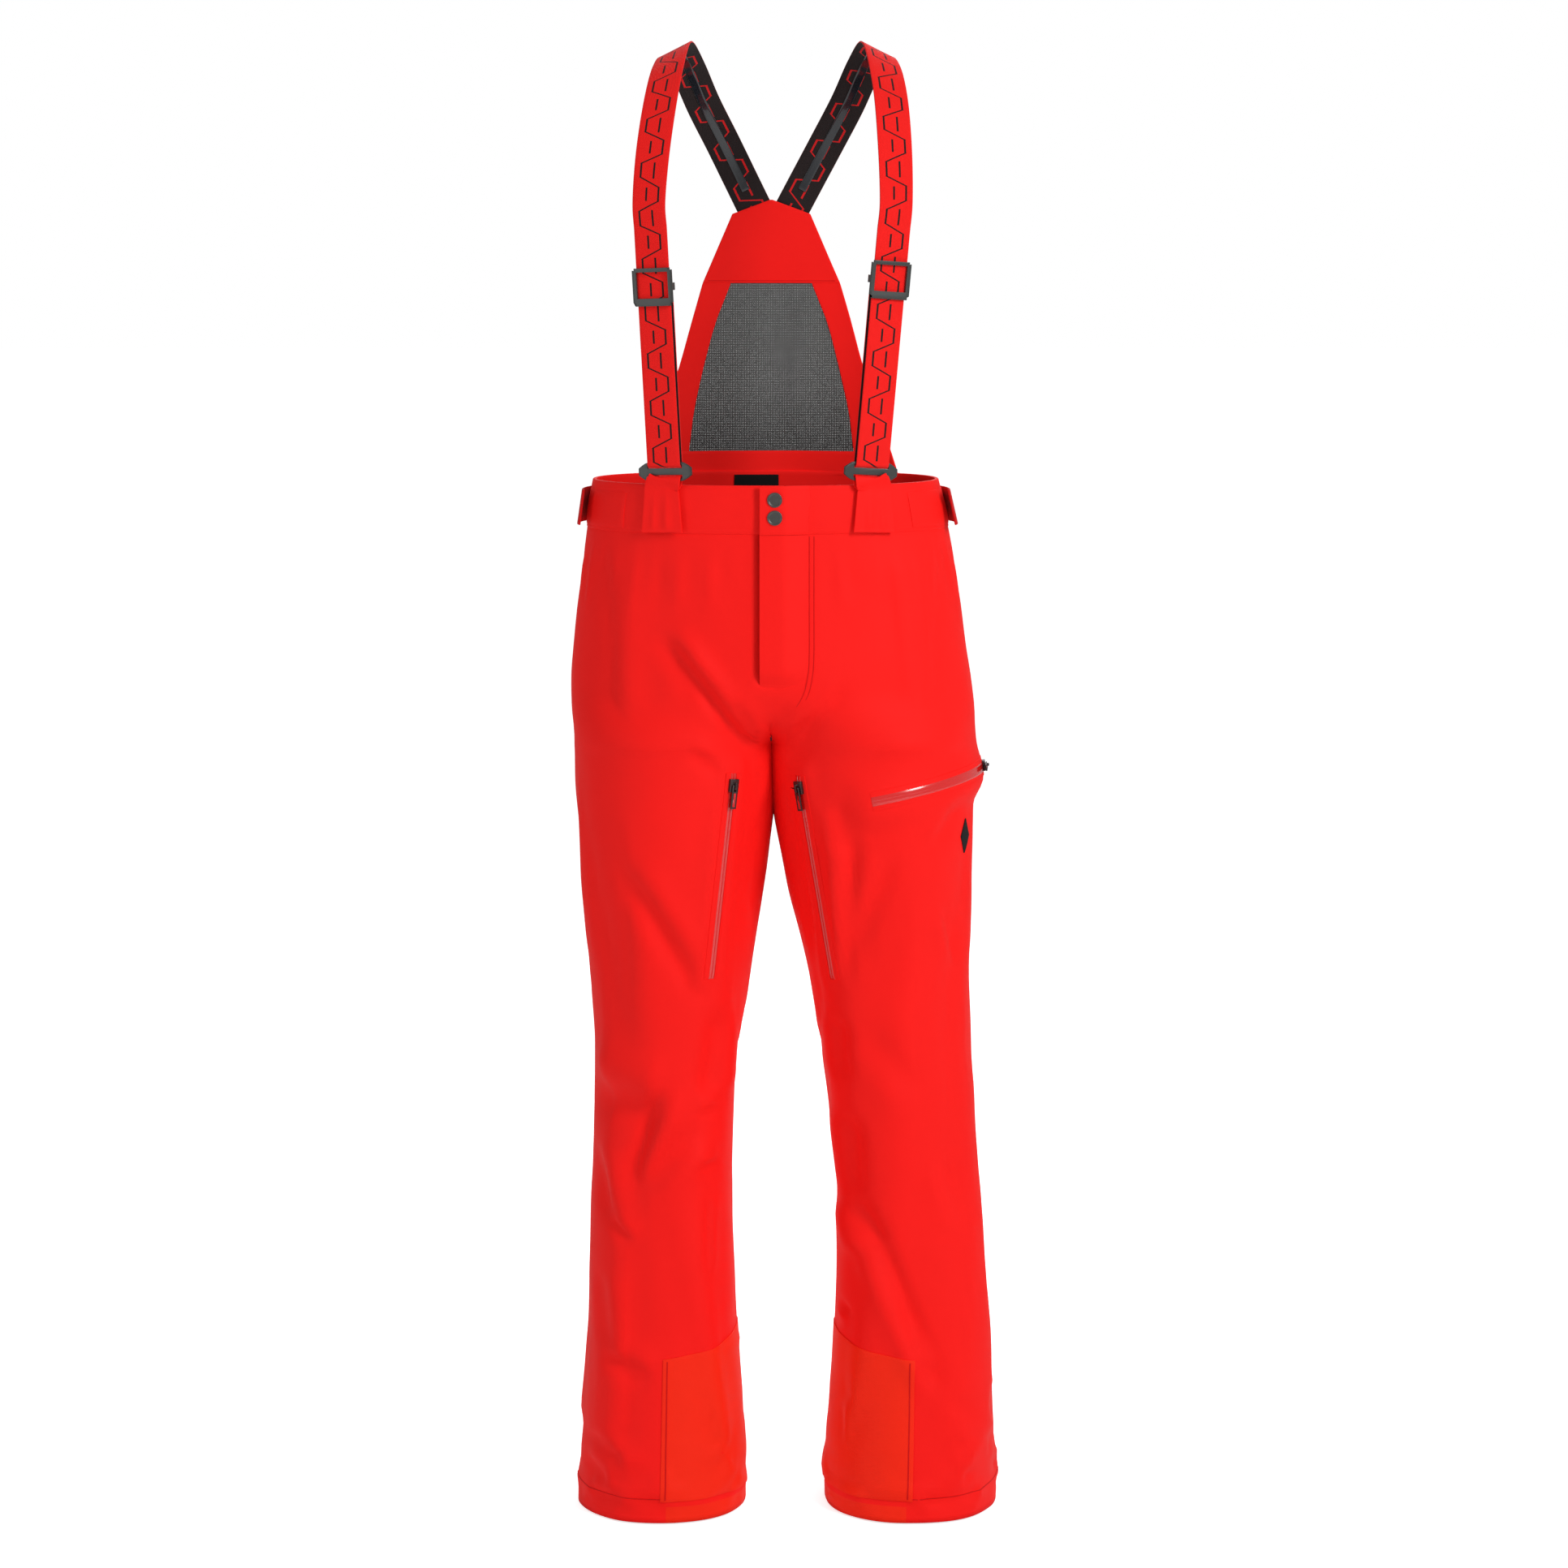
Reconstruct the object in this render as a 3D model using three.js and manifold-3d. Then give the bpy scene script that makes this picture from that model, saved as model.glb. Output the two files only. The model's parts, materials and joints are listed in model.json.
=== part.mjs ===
// Ski pants with a fly, two thigh vents, one thigh pocket and clip-on shoulder straps.
// Units are millimetres, +Z is up, the front faces -Y and the wearer's left is +X.
// The origin is the middle of the waist opening, at the top of the waistband.

import * as THREE from 'three';
import { mergeVertices } from 'three/addons/utils/BufferGeometryUtils.js';
import Module from 'manifold-3d';

const wasm = await Module();
wasm.setup();

// ---------------------------------------------------------------- driving sizes

const RIGHT = -1;
const LEFT = 1;
const SIDES = [['right', RIGHT], ['left', LEFT]];
const FRONT = 1;
const BACK = -1;

const GAP = 0.3;              // between pieces that touch
const SHELL = 3;              // padded shell fabric, outer face to lining
const SQUARENESS = 2.15;      // 2 is an ellipse, more is squarer
const PANEL_COLUMNS = 10;     // facets from an inseam to a side seam

const BAND_HEIGHT = 52;       // waistband
const BAND_LIFT = 0.6;        // waistband face over the leg panels
const BAND_INSIDE = 3.6;
const CROTCH = -290;
const FORK_HEIGHT = 75;       // over which two legs become one trunk
const FORK_FULLNESS = 0.5;    // keeps the front and seat round where the legs part
const HEM = -1140;
const HEM_BAND = 22;
const SIDE_SEAM_TURN = 100;   // degrees from the front to the waistband's side seams

// How wide each leg is at each height: distances from the middle plane.
const OUTLINE = {
  [RIGHT]: [
    { z: 0, inner: 0, outer: 193 },
    { z: -55, inner: 0, outer: 200 },
    { z: -140, inner: 0, outer: 213 },
    { z: -215, inner: 0, outer: 220 },
    { z: CROTCH, inner: 0, outer: 217 },
    { z: -340, inner: 1, outer: 216 },
    { z: -440, inner: 12, outer: 206 },
    { z: -540, inner: 26, outer: 196 },
    { z: -620, inner: 36, outer: 191 },
    { z: -770, inner: 40, outer: 194 },
    { z: -935, inner: 35, outer: 201 },
    { z: -1045, inner: 30, outer: 211 },
    { z: HEM, inner: 29, outer: 216 },
  ],
  [LEFT]: [
    { z: 0, inner: 0, outer: 181 },
    { z: -55, inner: 0, outer: 193 },
    { z: -140, inner: 0, outer: 208 },
    { z: -215, inner: 0, outer: 219 },
    { z: CROTCH, inner: 0, outer: 226 },
    { z: -340, inner: 4, outer: 224 },
    { z: -440, inner: 23, outer: 219 },
    { z: -540, inner: 45, outer: 214 },
    { z: -620, inner: 57, outer: 216 },
    { z: -770, inner: 72, outer: 230 },
    { z: -935, inner: 69, outer: 246 },
    { z: -1045, inner: 64, outer: 249 },
    { z: HEM, inner: 59, outer: 251 },
  ],
};

// How far the cloth stands in front of and behind the side seams.
const DEPTH = [
  { z: 0, front: 118, back: 112 },
  { z: -55, front: 121, back: 117 },
  { z: -140, front: 125, back: 130 },
  { z: -215, front: 129, back: 136 },
  { z: CROTCH, front: 124, back: 126 },
  { z: -540, front: 106, back: 104 },
  { z: -770, front: 97, back: 99 },
  { z: -935, front: 100, back: 104 },
  { z: HEM, front: 108, back: 112 },
];

const PANEL_HEIGHTS = [
  -83, -115, -140, -178, -215, -230, -244, -257, -268, -278, CROTCH, -314, -340, -390, -440, -490, -540,
  -580, -620, -695, -770, -852, -935, -990, -1045,
];

const FLY = { edge: -12, hinge: 42, bottom: -214, slot: 18, lift: 4.4, thickness: 2.4, hingeLift: 1.2, tapeGap: 0.8 };
const SNAP = { x: 4, heights: [-15, -34], cap: 8, shank: 2, stud: 6 };
const ZIP = { tape: 20, ridge: 1.2, ridgeHalf: 3, backing: 0.8, slit: 5, end: 6 };
const SLIDER = { width: 11, length: 14, top: 3.6, post: 1.4, span: 7, archTop: 7.6, archBar: 1 };
const PULL = { width: 7, length: 25, thickness: 1.4, axis: 5.1, window: 5, head: 1, rail: 1.7 };
const VENTS = {
  [RIGHT]: { top: [-41, -310], bottom: [-66, -535] },
  [LEFT]: { top: [31, -314], bottom: [69, -538] },
};
const POCKET = { radius: 125.5, shift: -6, height: -338, tilt: -11, start: 0, end: 92, bagDepth: 160 };
const ADJUSTER = { turn: 104, length: 30, lift: BAND_LIFT + GAP, spread: 14, thickness: 1.8, top: -10, bottom: -48 };
const STRAP = { width: 38, thickness: 1.8, turn: 24, straightTop: 300, gripWidth: 10, gripThickness: 0.8 };
const STRAP_PLAY = 1;         // webbing to its hook or adjuster, each side
const STRAP_X = { [RIGHT]: -110, [LEFT]: 104 };
const STRAP_TOP_X = { [RIGHT]: -127, [LEFT]: 131 };
const ADJUSTER_HEIGHT = { [RIGHT]: 210, [LEFT]: 218 };
const HOOK = { side: 11, height: 20, middle: 14, bar: 3, thickness: 3, slot: 3.4 };
HOOK.window = STRAP.width + 2 * STRAP_PLAY;
HOOK.width = HOOK.window + 2 * HOOK.side;
const NET_INSET = 0.6;        // the vent net and pocket bag behind the lining
const LOOP = { top: STRAP.width - 2 * STRAP_PLAY, flare: 5.5, thickness: 1.4, clearance: 0.6, backLength: 30 };
LOOP.bottom = LOOP.top + 2 * LOOP.flare;
const TURN_RADIUS = 3.2;      // webbing round a hook bar, to the middle of the webbing
const GLIDE = { height: 39, rail: 3, bar: 5, thickness: 2.2, backBar: 8 };
GLIDE.width = STRAP.width + 2 * (STRAP_PLAY + GLIDE.rail);
const BACK_PANEL = { meshBottom: 22, seam: 207, shoulder: 283, tip: 299, flatBack: 118, bow: 0.0012, thickness: 1.6 };
const GAITER = { top: -960, bottom: -1092, elastic: 24, taper: 26, thickness: 1.2 };
const GUARD = { top: -938, drop: 20, thickness: 1.2 };

// ---------------------------------------------------------------- small helpers

const vec = (x, y, z) => new THREE.Vector3(x, y, z);
const radians = THREE.MathUtils.degToRad;
const lerp = THREE.MathUtils.lerp;
const steps = (from, to, count) => Array.from({ length: count + 1 }, (_, i) => lerp(from, to, i / count));

function readTable(table, z, column) {
  const last = table.length - 1;
  const next = Math.max(1, table.findIndex((row, i) => i === last || row.z <= z));
  const above = table[next - 1];
  const below = table[next];
  const share = THREE.MathUtils.clamp((above.z - z) / (above.z - below.z), 0, 1);
  return lerp(above[column], below[column], share);
}

function superPower(value) {
  return Math.sign(value) * Math.abs(value) ** (2 / SQUARENESS);
}

// ---------------------------------------------------------------- the shell's surface

// 0 in a single leg, 1 in the trunk, and in between where the legs part.
function trunkShare(z) {
  const share = THREE.MathUtils.clamp((z - CROTCH) / FORK_HEIGHT, 0, 1);
  return Math.sin(share * Math.PI / 2);
}

// A point of the outer surface. "across" is 0 at the inseam or middle plane and 1 at the side seam.
function shell(side, face, across, z) {
  if (across > 1) {
    return shell(side, -face, 2 - across, z);
  }
  const share = trunkShare(z);
  if (across < 0 && share > 0) {
    const mirrored = shell(side, face, -across, z);
    return vec(-mirrored.x, mirrored.y, z);
  }
  if (across < 0) {
    return shell(side, -face, -across, z);
  }
  const outer = readTable(OUTLINE[side], z, 'outer');
  const inner = readTable(OUTLINE[side], z, 'inner');
  const depth = readTable(DEPTH, z, face === FRONT ? 'front' : 'back') * (1 + FORK_FULLNESS * share * (1 - share));
  const turn = across * Math.PI;
  const legX = (outer + inner) / 2 - (outer - inner) / 2 * superPower(Math.cos(turn));
  const legY = superPower(Math.sin(turn));
  const trunkX = outer * superPower(Math.sin(turn / 2));
  const trunkY = superPower(Math.cos(turn / 2));
  return vec(side * lerp(legX, trunkX, share), -face * depth * lerp(legY, trunkY, share), z);
}

// The trunk by its turn from the front, positive towards the wearer's left.
function trunk(turn, z) {
  const wrapped = THREE.MathUtils.euclideanModulo(turn + Math.PI, 2 * Math.PI) - Math.PI;
  const side = wrapped < 0 ? RIGHT : LEFT;
  const quarter = Math.abs(wrapped) / (Math.PI / 2);
  return quarter <= 1 ? shell(side, FRONT, quarter, z) : shell(side, BACK, 2 - quarter, z);
}

// One leg by its turn from the front, positive towards the wearer's left.
function leg(side, turn, z) {
  return shell(side, FRONT, 0.5 + side * turn / Math.PI, z);
}

// The turn at which the front of the trunk has this x.
function trunkTurn(x, z) {
  const outer = readTable(OUTLINE[x < 0 ? RIGHT : LEFT], z, 'outer');
  return Math.sign(x) * Math.asin((Math.abs(x) / outer) ** (SQUARENESS / 2));
}

// A point on the front of one leg below the crotch, and the way out of it.
function legFront(side, x, z) {
  const outer = readTable(OUTLINE[side], z, 'outer');
  const inner = readTable(OUTLINE[side], z, 'inner');
  const share = Math.abs(Math.abs(x) - (outer + inner) / 2) / ((outer - inner) / 2);
  return vec(x, -readTable(DEPTH, z, 'front') * (1 - share ** SQUARENESS) ** (1 / SQUARENESS), z);
}

// The point where a level line from the leg's middle through "point" leaves the cloth, plus a clearance.
function hugLeg(side, point, clearance) {
  const outer = readTable(OUTLINE[side], point.z, 'outer');
  const inner = readTable(OUTLINE[side], point.z, 'inner');
  const middle = vec(side * (outer + inner) / 2, 0, point.z);
  const out = point.clone().sub(middle);
  const halfWidth = (outer - inner) / 2;
  const depth = readTable(DEPTH, point.z, out.y < 0 ? 'front' : 'back');
  const size = Math.abs(out.x / halfWidth) ** SQUARENESS + Math.abs(out.y / depth) ** SQUARENESS;
  const reach = out.length() * size ** (-1 / SQUARENESS) + clearance;
  return middle.add(out.setLength(reach));
}

// ---------------------------------------------------------------- solids

function volumeOf(positions, triangles) {
  const corner = (i) => vec(...positions.slice(3 * i, 3 * i + 3));
  let volume = 0;
  for (let i = 0; i < triangles.length; i += 3) {
    const [a, b, c] = [corner(triangles[i]), corner(triangles[i + 1]), corner(triangles[i + 2])];
    volume += a.dot(b.cross(c)) / 6;
  }
  return volume;
}

function solidFrom(positions, triangles) {
  const ordered = volumeOf(positions, triangles) < 0 ? triangles.slice().reverse() : triangles;
  const geometry = new THREE.BufferGeometry();
  geometry.setAttribute('position', new THREE.BufferAttribute(new Float32Array(positions), 3));
  geometry.setIndex(ordered);
  return geometry;
}

// A closed solid between two matching grids of points; "ring" joins the last column to the first.
function between(outerRows, innerRows, ring = false) {
  const rows = outerRows.length;
  const columns = outerRows[0].length;
  const positions = [outerRows, innerRows].flat(2).flatMap((point) => point.toArray());
  const outer = (r, c) => r * columns + c % columns;
  const inner = (r, c) => outer(r, c) + rows * columns;
  const triangles = [];
  const quad = (a, b, c, d) => triangles.push(a, b, c, a, c, d);
  const spans = ring ? columns : columns - 1;
  for (let c = 0; c < spans; c += 1) {
    for (let r = 0; r < rows - 1; r += 1) {
      quad(outer(r, c), outer(r, c + 1), outer(r + 1, c + 1), outer(r + 1, c));
      quad(inner(r, c), inner(r + 1, c), inner(r + 1, c + 1), inner(r, c + 1));
    }
    quad(outer(0, c + 1), outer(0, c), inner(0, c), inner(0, c + 1));
    quad(outer(rows - 1, c), outer(rows - 1, c + 1), inner(rows - 1, c + 1), inner(rows - 1, c));
  }
  for (let r = 0; !ring && r < rows - 1; r += 1) {
    const end = columns - 1;
    quad(outer(r, 0), outer(r + 1, 0), inner(r + 1, 0), inner(r, 0));
    quad(outer(r + 1, end), outer(r, end), inner(r, end), inner(r + 1, end));
  }
  return solidFrom(positions, triangles);
}

// Which way is out of a surface given as a function of a column value and a height.
function outward(surface, column, z, sign, level) {
  const nudge = 0.002;
  const lift = 0.5;
  const across = surface(column + nudge, z).sub(surface(column - nudge, z));
  const up = surface(column, z + lift).sub(surface(column, z - lift));
  const normal = across.cross(up);
  if (level) {
    normal.z = 0;
  }
  return normal.normalize().multiplyScalar(sign);
}

// Cloth laid over a surface. "outer" and "inner" are distances out of it, or functions of place.
function cloth(surface, columns, rows, outer, inner, { sign = 1, level = false, ring = false } = {}) {
  const distance = (value, u, z) => (typeof value === 'function' ? value(u, z) : value);
  const layer = (value) => rows.map((row) => columns.map((u) => {
    const z = typeof row === 'function' ? row(u) : row;
    return surface(u, z).addScaledVector(outward(surface, u, z, sign, level), distance(value, u, z));
  }));
  return between(layer(outer), layer(inner), ring);
}

function toManifold(geometry) {
  const bare = geometry.clone();
  bare.deleteAttribute('normal');
  bare.deleteAttribute('uv');
  const merged = mergeVertices(bare, 1e-4);
  return new wasm.Manifold(new wasm.Mesh({
    numProp: 3,
    vertProperties: merged.attributes.position.array,
    triVerts: new Uint32Array(merged.index.array),
  }));
}

function fromManifold(solid) {
  const mesh = solid.getMesh();
  const geometry = new THREE.BufferGeometry();
  geometry.setAttribute('position', new THREE.BufferAttribute(new Float32Array(mesh.vertProperties), 3));
  geometry.setIndex([...mesh.triVerts]);
  return geometry;
}

const cut = (body, ...tools) => fromManifold(tools.reduce(
  (solid, tool) => solid.subtract(toManifold(tool)), toManifold(body)));
const join = (...bodies) => fromManifold(bodies.map(toManifold).reduce((all, one) => all.add(one)));

// A box by its low and high corners.
function box(low, high) {
  const geometry = new THREE.BoxGeometry(high[0] - low[0], high[1] - low[1], high[2] - low[2]);
  return geometry.translate((low[0] + high[0]) / 2, (low[1] + high[1]) / 2, (low[2] + high[2]) / 2);
}

// A strip of webbing through stations of { at, across, width }.
function ribbon(stations, thickness) {
  const corners = stations.map((station, i) => {
    const before = stations[Math.max(0, i - 1)].at;
    const after = stations[Math.min(stations.length - 1, i + 1)].at;
    const along = after.clone().sub(before).normalize();
    const across = station.across.clone().addScaledVector(along, -station.across.dot(along)).normalize();
    const normal = across.clone().cross(along);
    return { ...station, across, normal };
  });
  const face = (distance) => corners.map(({ at, across, normal, width }) => [-0.5, 0.5].map((half) => (
    at.clone().addScaledVector(across, half * width).addScaledVector(normal, distance))));
  return between(face(thickness / 2), face(-thickness / 2));
}

// A local frame as a matrix: its x, y and z directions and its origin.
function placed(geometry, x, y, z, origin) {
  return geometry.applyMatrix4(new THREE.Matrix4().makeBasis(x, y, z).setPosition(origin));
}

// ---------------------------------------------------------------- leg panels

// Cloth that lies against a panel shares the panel's columns, so that their facets run side by side.
function panelColumns(from, to) {
  return steps(from, to, Math.round((to - from) * PANEL_COLUMNS));
}

function panelHeights(top, bottom) {
  return [top, ...PANEL_HEIGHTS, bottom];
}

// Seam edges stay half a gap away from the middle plane and from the side and inseam plane.
function keepClear(rows, side, face) {
  rows.forEach((row) => row.forEach((point) => {
    point.x = side * Math.max(side * point.x, GAP / 2);
    point.y = -face * Math.max(-face * point.y, GAP / 2);
  }));
  return rows;
}

function legPanel(side, face) {
  const surface = (across, z) => shell(side, face, across, z);
  const columns = steps(0, 1, PANEL_COLUMNS);
  const heights = panelHeights(-BAND_HEIGHT - GAP, HEM + HEM_BAND + GAP);
  const layer = (distance) => keepClear(heights.map((z, i) => columns.map((across) => {
    const level = i === 0 || i === heights.length - 1;
    const out = outward(surface, across, z, side * face, level);
    return surface(across, z).addScaledVector(out, distance);
  })), side, face);
  return between(layer(0), layer(-SHELL));
}

// ---------------------------------------------------------------- zips

// A straight zip lies on the plane through its two ends: "along" runs to the lower end.
function zipLine(top, bottom, out) {
  const along = bottom.clone().sub(top).normalize();
  const normal = out.clone().addScaledVector(along, -out.dot(along)).normalize();
  const across = along.clone().cross(normal).normalize();
  return { top, along, normal, across, length: top.distanceTo(bottom) };
}

const onLine = (line, across, out, along) => line.top.clone()
  .addScaledVector(line.across, across)
  .addScaledVector(line.normal, out)
  .addScaledVector(line.along, along);

// The tape with its closed teeth as a low ridge; "under" gives the point of its back face.
function zipTape(line, under) {
  const half = ZIP.tape / 2;
  const columns = [-half, -ZIP.ridgeHalf - 0.6, -ZIP.ridgeHalf, ZIP.ridgeHalf, ZIP.ridgeHalf + 0.6, half];
  const rise = [0, 0, ZIP.ridge, ZIP.ridge, 0, 0];
  const rows = steps(0, line.length, 12);
  const outer = rows.map((along) => columns.map((across, i) => onLine(line, across, rise[i], along)));
  const inner = rows.map((along) => columns.map((across) => under(onLine(line, across, 0, along))));
  return between(outer, inner);
}

// The slider's section straddles the ridge; its arch holds the pull.
function zipSliderBody() {
  const half = SLIDER.width / 2;
  const channel = ZIP.ridgeHalf + 0.6 + GAP;
  const roof = ZIP.ridge + GAP;
  const section = new THREE.Shape([
    [-half, GAP], [-channel, GAP], [-ZIP.ridgeHalf - GAP, roof], [ZIP.ridgeHalf + GAP, roof],
    [channel, GAP], [half, GAP], [half, SLIDER.top], [-half, SLIDER.top],
  ].map(([x, y]) => new THREE.Vector2(x, y)));
  const body = new THREE.ExtrudeGeometry(section, { depth: SLIDER.length, bevelEnabled: false });
  body.translate(0, 0, -SLIDER.length / 2);
  const postHalf = 1.2;
  const reach = SLIDER.span / 2 + SLIDER.post / 2;
  const post = (middle) => box(
    [-postHalf, SLIDER.top - 0.2, middle - SLIDER.post / 2],
    [postHalf, SLIDER.archTop, middle + SLIDER.post / 2]);
  const bar = box([-postHalf, SLIDER.archTop - SLIDER.archBar, -reach], [postHalf, SLIDER.archTop, reach]);
  return join(body, post(-SLIDER.span / 2), post(SLIDER.span / 2), bar);
}

// The pull's head passes under the arch, and the arch's lower post stands in its window.
function zipPullBody() {
  const half = PULL.width / 2;
  const outline = new THREE.Shape([
    [-half, -PULL.head], [half, -PULL.head], [half, PULL.length], [-half, PULL.length],
  ].map(([x, y]) => new THREE.Vector2(x, y)));
  outline.holes.push(new THREE.Path([
    [-PULL.rail, PULL.head], [-PULL.rail, PULL.head + PULL.window],
    [PULL.rail, PULL.head + PULL.window], [PULL.rail, PULL.head],
  ].map(([x, y]) => new THREE.Vector2(x, y))));
  const plate = new THREE.ExtrudeGeometry(outline, { depth: PULL.thickness, bevelEnabled: false });
  plate.rotateX(Math.PI / 2);
  return plate.translate(0, PULL.axis + PULL.thickness / 2, 0);
}

// Places a slider or pull, modelled with its zip along z and out along y.
function onZip(geometry, line, along) {
  return placed(geometry, line.across.clone().negate(), line.normal, line.along.clone(), onLine(line, 0, 0, along));
}

const SLIDER_REST = SLIDER.length / 2 + ZIP.end;

// How far the cloth stands out of a straight zip's plane, at the most.
function clothRise(side, line) {
  const half = ZIP.tape / 2;
  const places = steps(0, line.length, 12).flatMap((along) => steps(-half, half, 4).map((across) => [across, along]));
  const rises = places.map(([across, along]) => {
    const point = onLine(line, across, 0, along);
    return hugLeg(side, point, GAP).sub(point).dot(line.normal);
  });
  return Math.max(...rises);
}

function ventLine(side) {
  const [top, bottom] = ['top', 'bottom'].map((end) => legFront(side, ...VENTS[side][end]));
  const surface = (x, z) => legFront(side, x, z);
  const middle = top.clone().lerp(bottom, 0.5);
  const out = outward(surface, middle.x, middle.z, 1, false);
  const lift = clothRise(side, zipLine(top, bottom, out)) + ZIP.backing;
  return zipLine(top.addScaledVector(out, lift), bottom.addScaledVector(out, lift), out);
}

function ventSlit(line) {
  const half = ZIP.slit / 2;
  const depth = 14;
  const tool = box([-half, -depth, 2 * ZIP.end], [half, depth, line.length - 2 * ZIP.end]);
  return onZip(tool, line, 0);
}

// A backing net behind the vent, inside the leg.
function ventNet(side) {
  const surface = (across, z) => shell(side, FRONT, across, z);
  const columns = panelColumns(0.2, 0.5);
  const rows = steps(VENTS[side].top[1] + 6, VENTS[side].bottom[1] - 6, 6);
  return cloth(surface, columns, rows, -SHELL - NET_INSET, -SHELL - NET_INSET - 1, { sign: side, level: true });
}

// ---------------------------------------------------------------- thigh pocket

// The pocket zip is an arc round the outer thigh in a tilted plane, so its slider turns about one axis.
function pocketFrame() {
  const outer = readTable(OUTLINE[LEFT], POCKET.height, 'outer');
  const inner = readTable(OUTLINE[LEFT], POCKET.height, 'inner');
  const tilt = radians(POCKET.tilt);
  const sideways = vec(Math.cos(tilt), 0, -Math.sin(tilt));
  const forward = vec(0, -1, 0);
  return { middle: vec((outer + inner) / 2 + POCKET.shift, 0, POCKET.height), sideways, forward, axis: sideways.clone().cross(forward) };
}

// The turn starts at the front of the thigh and grows round the outside.
function pocketPoint(frame, turn, radius, rise) {
  return frame.middle.clone()
    .addScaledVector(frame.forward, radius * Math.cos(turn))
    .addScaledVector(frame.sideways, radius * Math.sin(turn))
    .addScaledVector(frame.axis, rise);
}

function pocketStrip(frame, columns, outerRadius, inner, count) {
  const rows = steps(radians(POCKET.start), radians(POCKET.end), count);
  const outer = rows.map((turn) => columns.map(([rise, lift]) => pocketPoint(frame, turn, outerRadius + lift, rise)));
  const back = rows.map((turn) => columns.map(([rise]) => inner(pocketPoint(frame, turn, outerRadius, rise))));
  return between(outer, back);
}

function pocketTape(frame) {
  const half = ZIP.tape / 2;
  const slope = ZIP.ridgeHalf + 0.6;
  const columns = [
    [-half, 0], [-slope, 0], [-ZIP.ridgeHalf, ZIP.ridge], [ZIP.ridgeHalf, ZIP.ridge], [slope, 0], [half, 0],
  ];
  return pocketStrip(frame, columns, POCKET.radius, (point) => hugLeg(LEFT, point, GAP), 16);
}

function pocketSlit(frame) {
  const half = ZIP.slit / 2;
  const columns = [[-half, 0], [half, 0]];
  return pocketStrip(frame, columns, POCKET.radius + 6, (point) => hugLeg(LEFT, point, -3 * SHELL), 16);
}

// A straight line that touches the arc at one turn, for the slider and pull.
function pocketLine(frame, turn) {
  const top = pocketPoint(frame, turn, POCKET.radius, 0);
  const normal = pocketPoint(frame, turn, 1, 0).sub(frame.middle);
  const along = pocketPoint(frame, turn - Math.PI / 2, 1, 0).sub(frame.middle);
  return { top, along, normal, across: along.clone().cross(normal), length: 0 };
}

function pocketBag() {
  const surface = (across, z) => shell(LEFT, FRONT, across, z);
  const top = POCKET.height - 30;
  const rows = steps(top, top - POCKET.bagDepth, 6);
  return cloth(surface, panelColumns(0.6, 0.9), rows, -SHELL - NET_INSET, -SHELL - NET_INSET - 2, { level: true });
}

// ---------------------------------------------------------------- waistband, fly and side tabs

const bandRows = steps(0, -BAND_HEIGHT, 3);
const sideSeam = radians(SIDE_SEAM_TURN);
const seamGap = GAP / 200;
const SEAM_X = 15;            // where the two front waistbands meet, under the snap tab

function waistband(from, to, count) {
  return cloth(trunk, steps(from, to, count), bandRows, BAND_LIFT, -BAND_INSIDE, { level: true });
}

function frontColumns(from, to, count, z) {
  return steps(from, to, count).map((x) => trunkTurn(x, z));
}

// The overlap hangs from a straight line of stitches, so it opens about that line.
function flyOverlap(rows) {
  const columns = steps(0, 1, 8);
  const surface = (share, z) => trunk(trunkTurn(lerp(FLY.edge, FLY.hinge, share), z), z);
  const inner = (share) => (share > 0.85 ? FLY.hingeLift : FLY.lift);
  return cloth(surface, columns, rows, FLY.lift + FLY.thickness, inner, { level: true });
}

function frontNormal(x, z) {
  return outward(trunk, trunkTurn(x, z), z, 1, false);
}

// A turned piece standing on the front: its axis points out of the cloth.
function standing(profile, x, z) {
  const out = frontNormal(x, z);
  const geometry = new THREE.LatheGeometry(profile.map(([r, h]) => new THREE.Vector2(r, h)), 20);
  geometry.applyQuaternion(new THREE.Quaternion().setFromUnitVectors(vec(0, 1, 0), out));
  return geometry.translate(...trunk(trunkTurn(x, z), z).toArray());
}

function snapCap(z) {
  const seat = FLY.lift + FLY.thickness + GAP;
  return standing([
    [0, FLY.lift + GAP], [SNAP.shank, FLY.lift + GAP], [SNAP.shank, seat], [SNAP.cap, seat],
    [SNAP.cap, seat + 1.2], [SNAP.cap - 1.4, seat + 2.1], [SNAP.cap - 3, seat + 1.6], [0, seat + 1.6],
  ], SNAP.x, z);
}

function snapStud(z) {
  const seat = BAND_LIFT + GAP;
  const post = 2.4;
  return standing([
    [0, seat], [SNAP.stud, seat], [SNAP.stud, seat + 0.9], [post, seat + 0.9], [post, FLY.lift - 0.5],
    [0, FLY.lift - 0.5],
  ], SNAP.x, z);
}

function snapTab() {
  const tab = flyOverlap(steps(0, -BAND_HEIGHT, 3));
  const hole = SNAP.shank + GAP;
  const tools = SNAP.heights.map((z) => standing([[0, -2], [hole, -2], [hole, 20], [0, 20]], SNAP.x, z));
  return cut(tab, ...tools);
}

function flyLine() {
  const depth = SHELL + FLY.tapeGap;
  const [top, bottom] = [-BAND_HEIGHT - GAP, FLY.bottom + 2].map((z) => trunk(0, z).add(vec(0, depth, 0)));
  return zipLine(top, bottom, vec(0, -1, 0));
}

function flyUnderlap() {
  const surface = (x, z) => trunk(trunkTurn(x, z), z);
  const rows = steps(-BAND_HEIGHT - GAP, FLY.bottom, 6);
  return cloth(surface, steps(-24, 24, 6), rows, -SHELL - 3, -SHELL - 4.6, { level: true });
}

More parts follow.
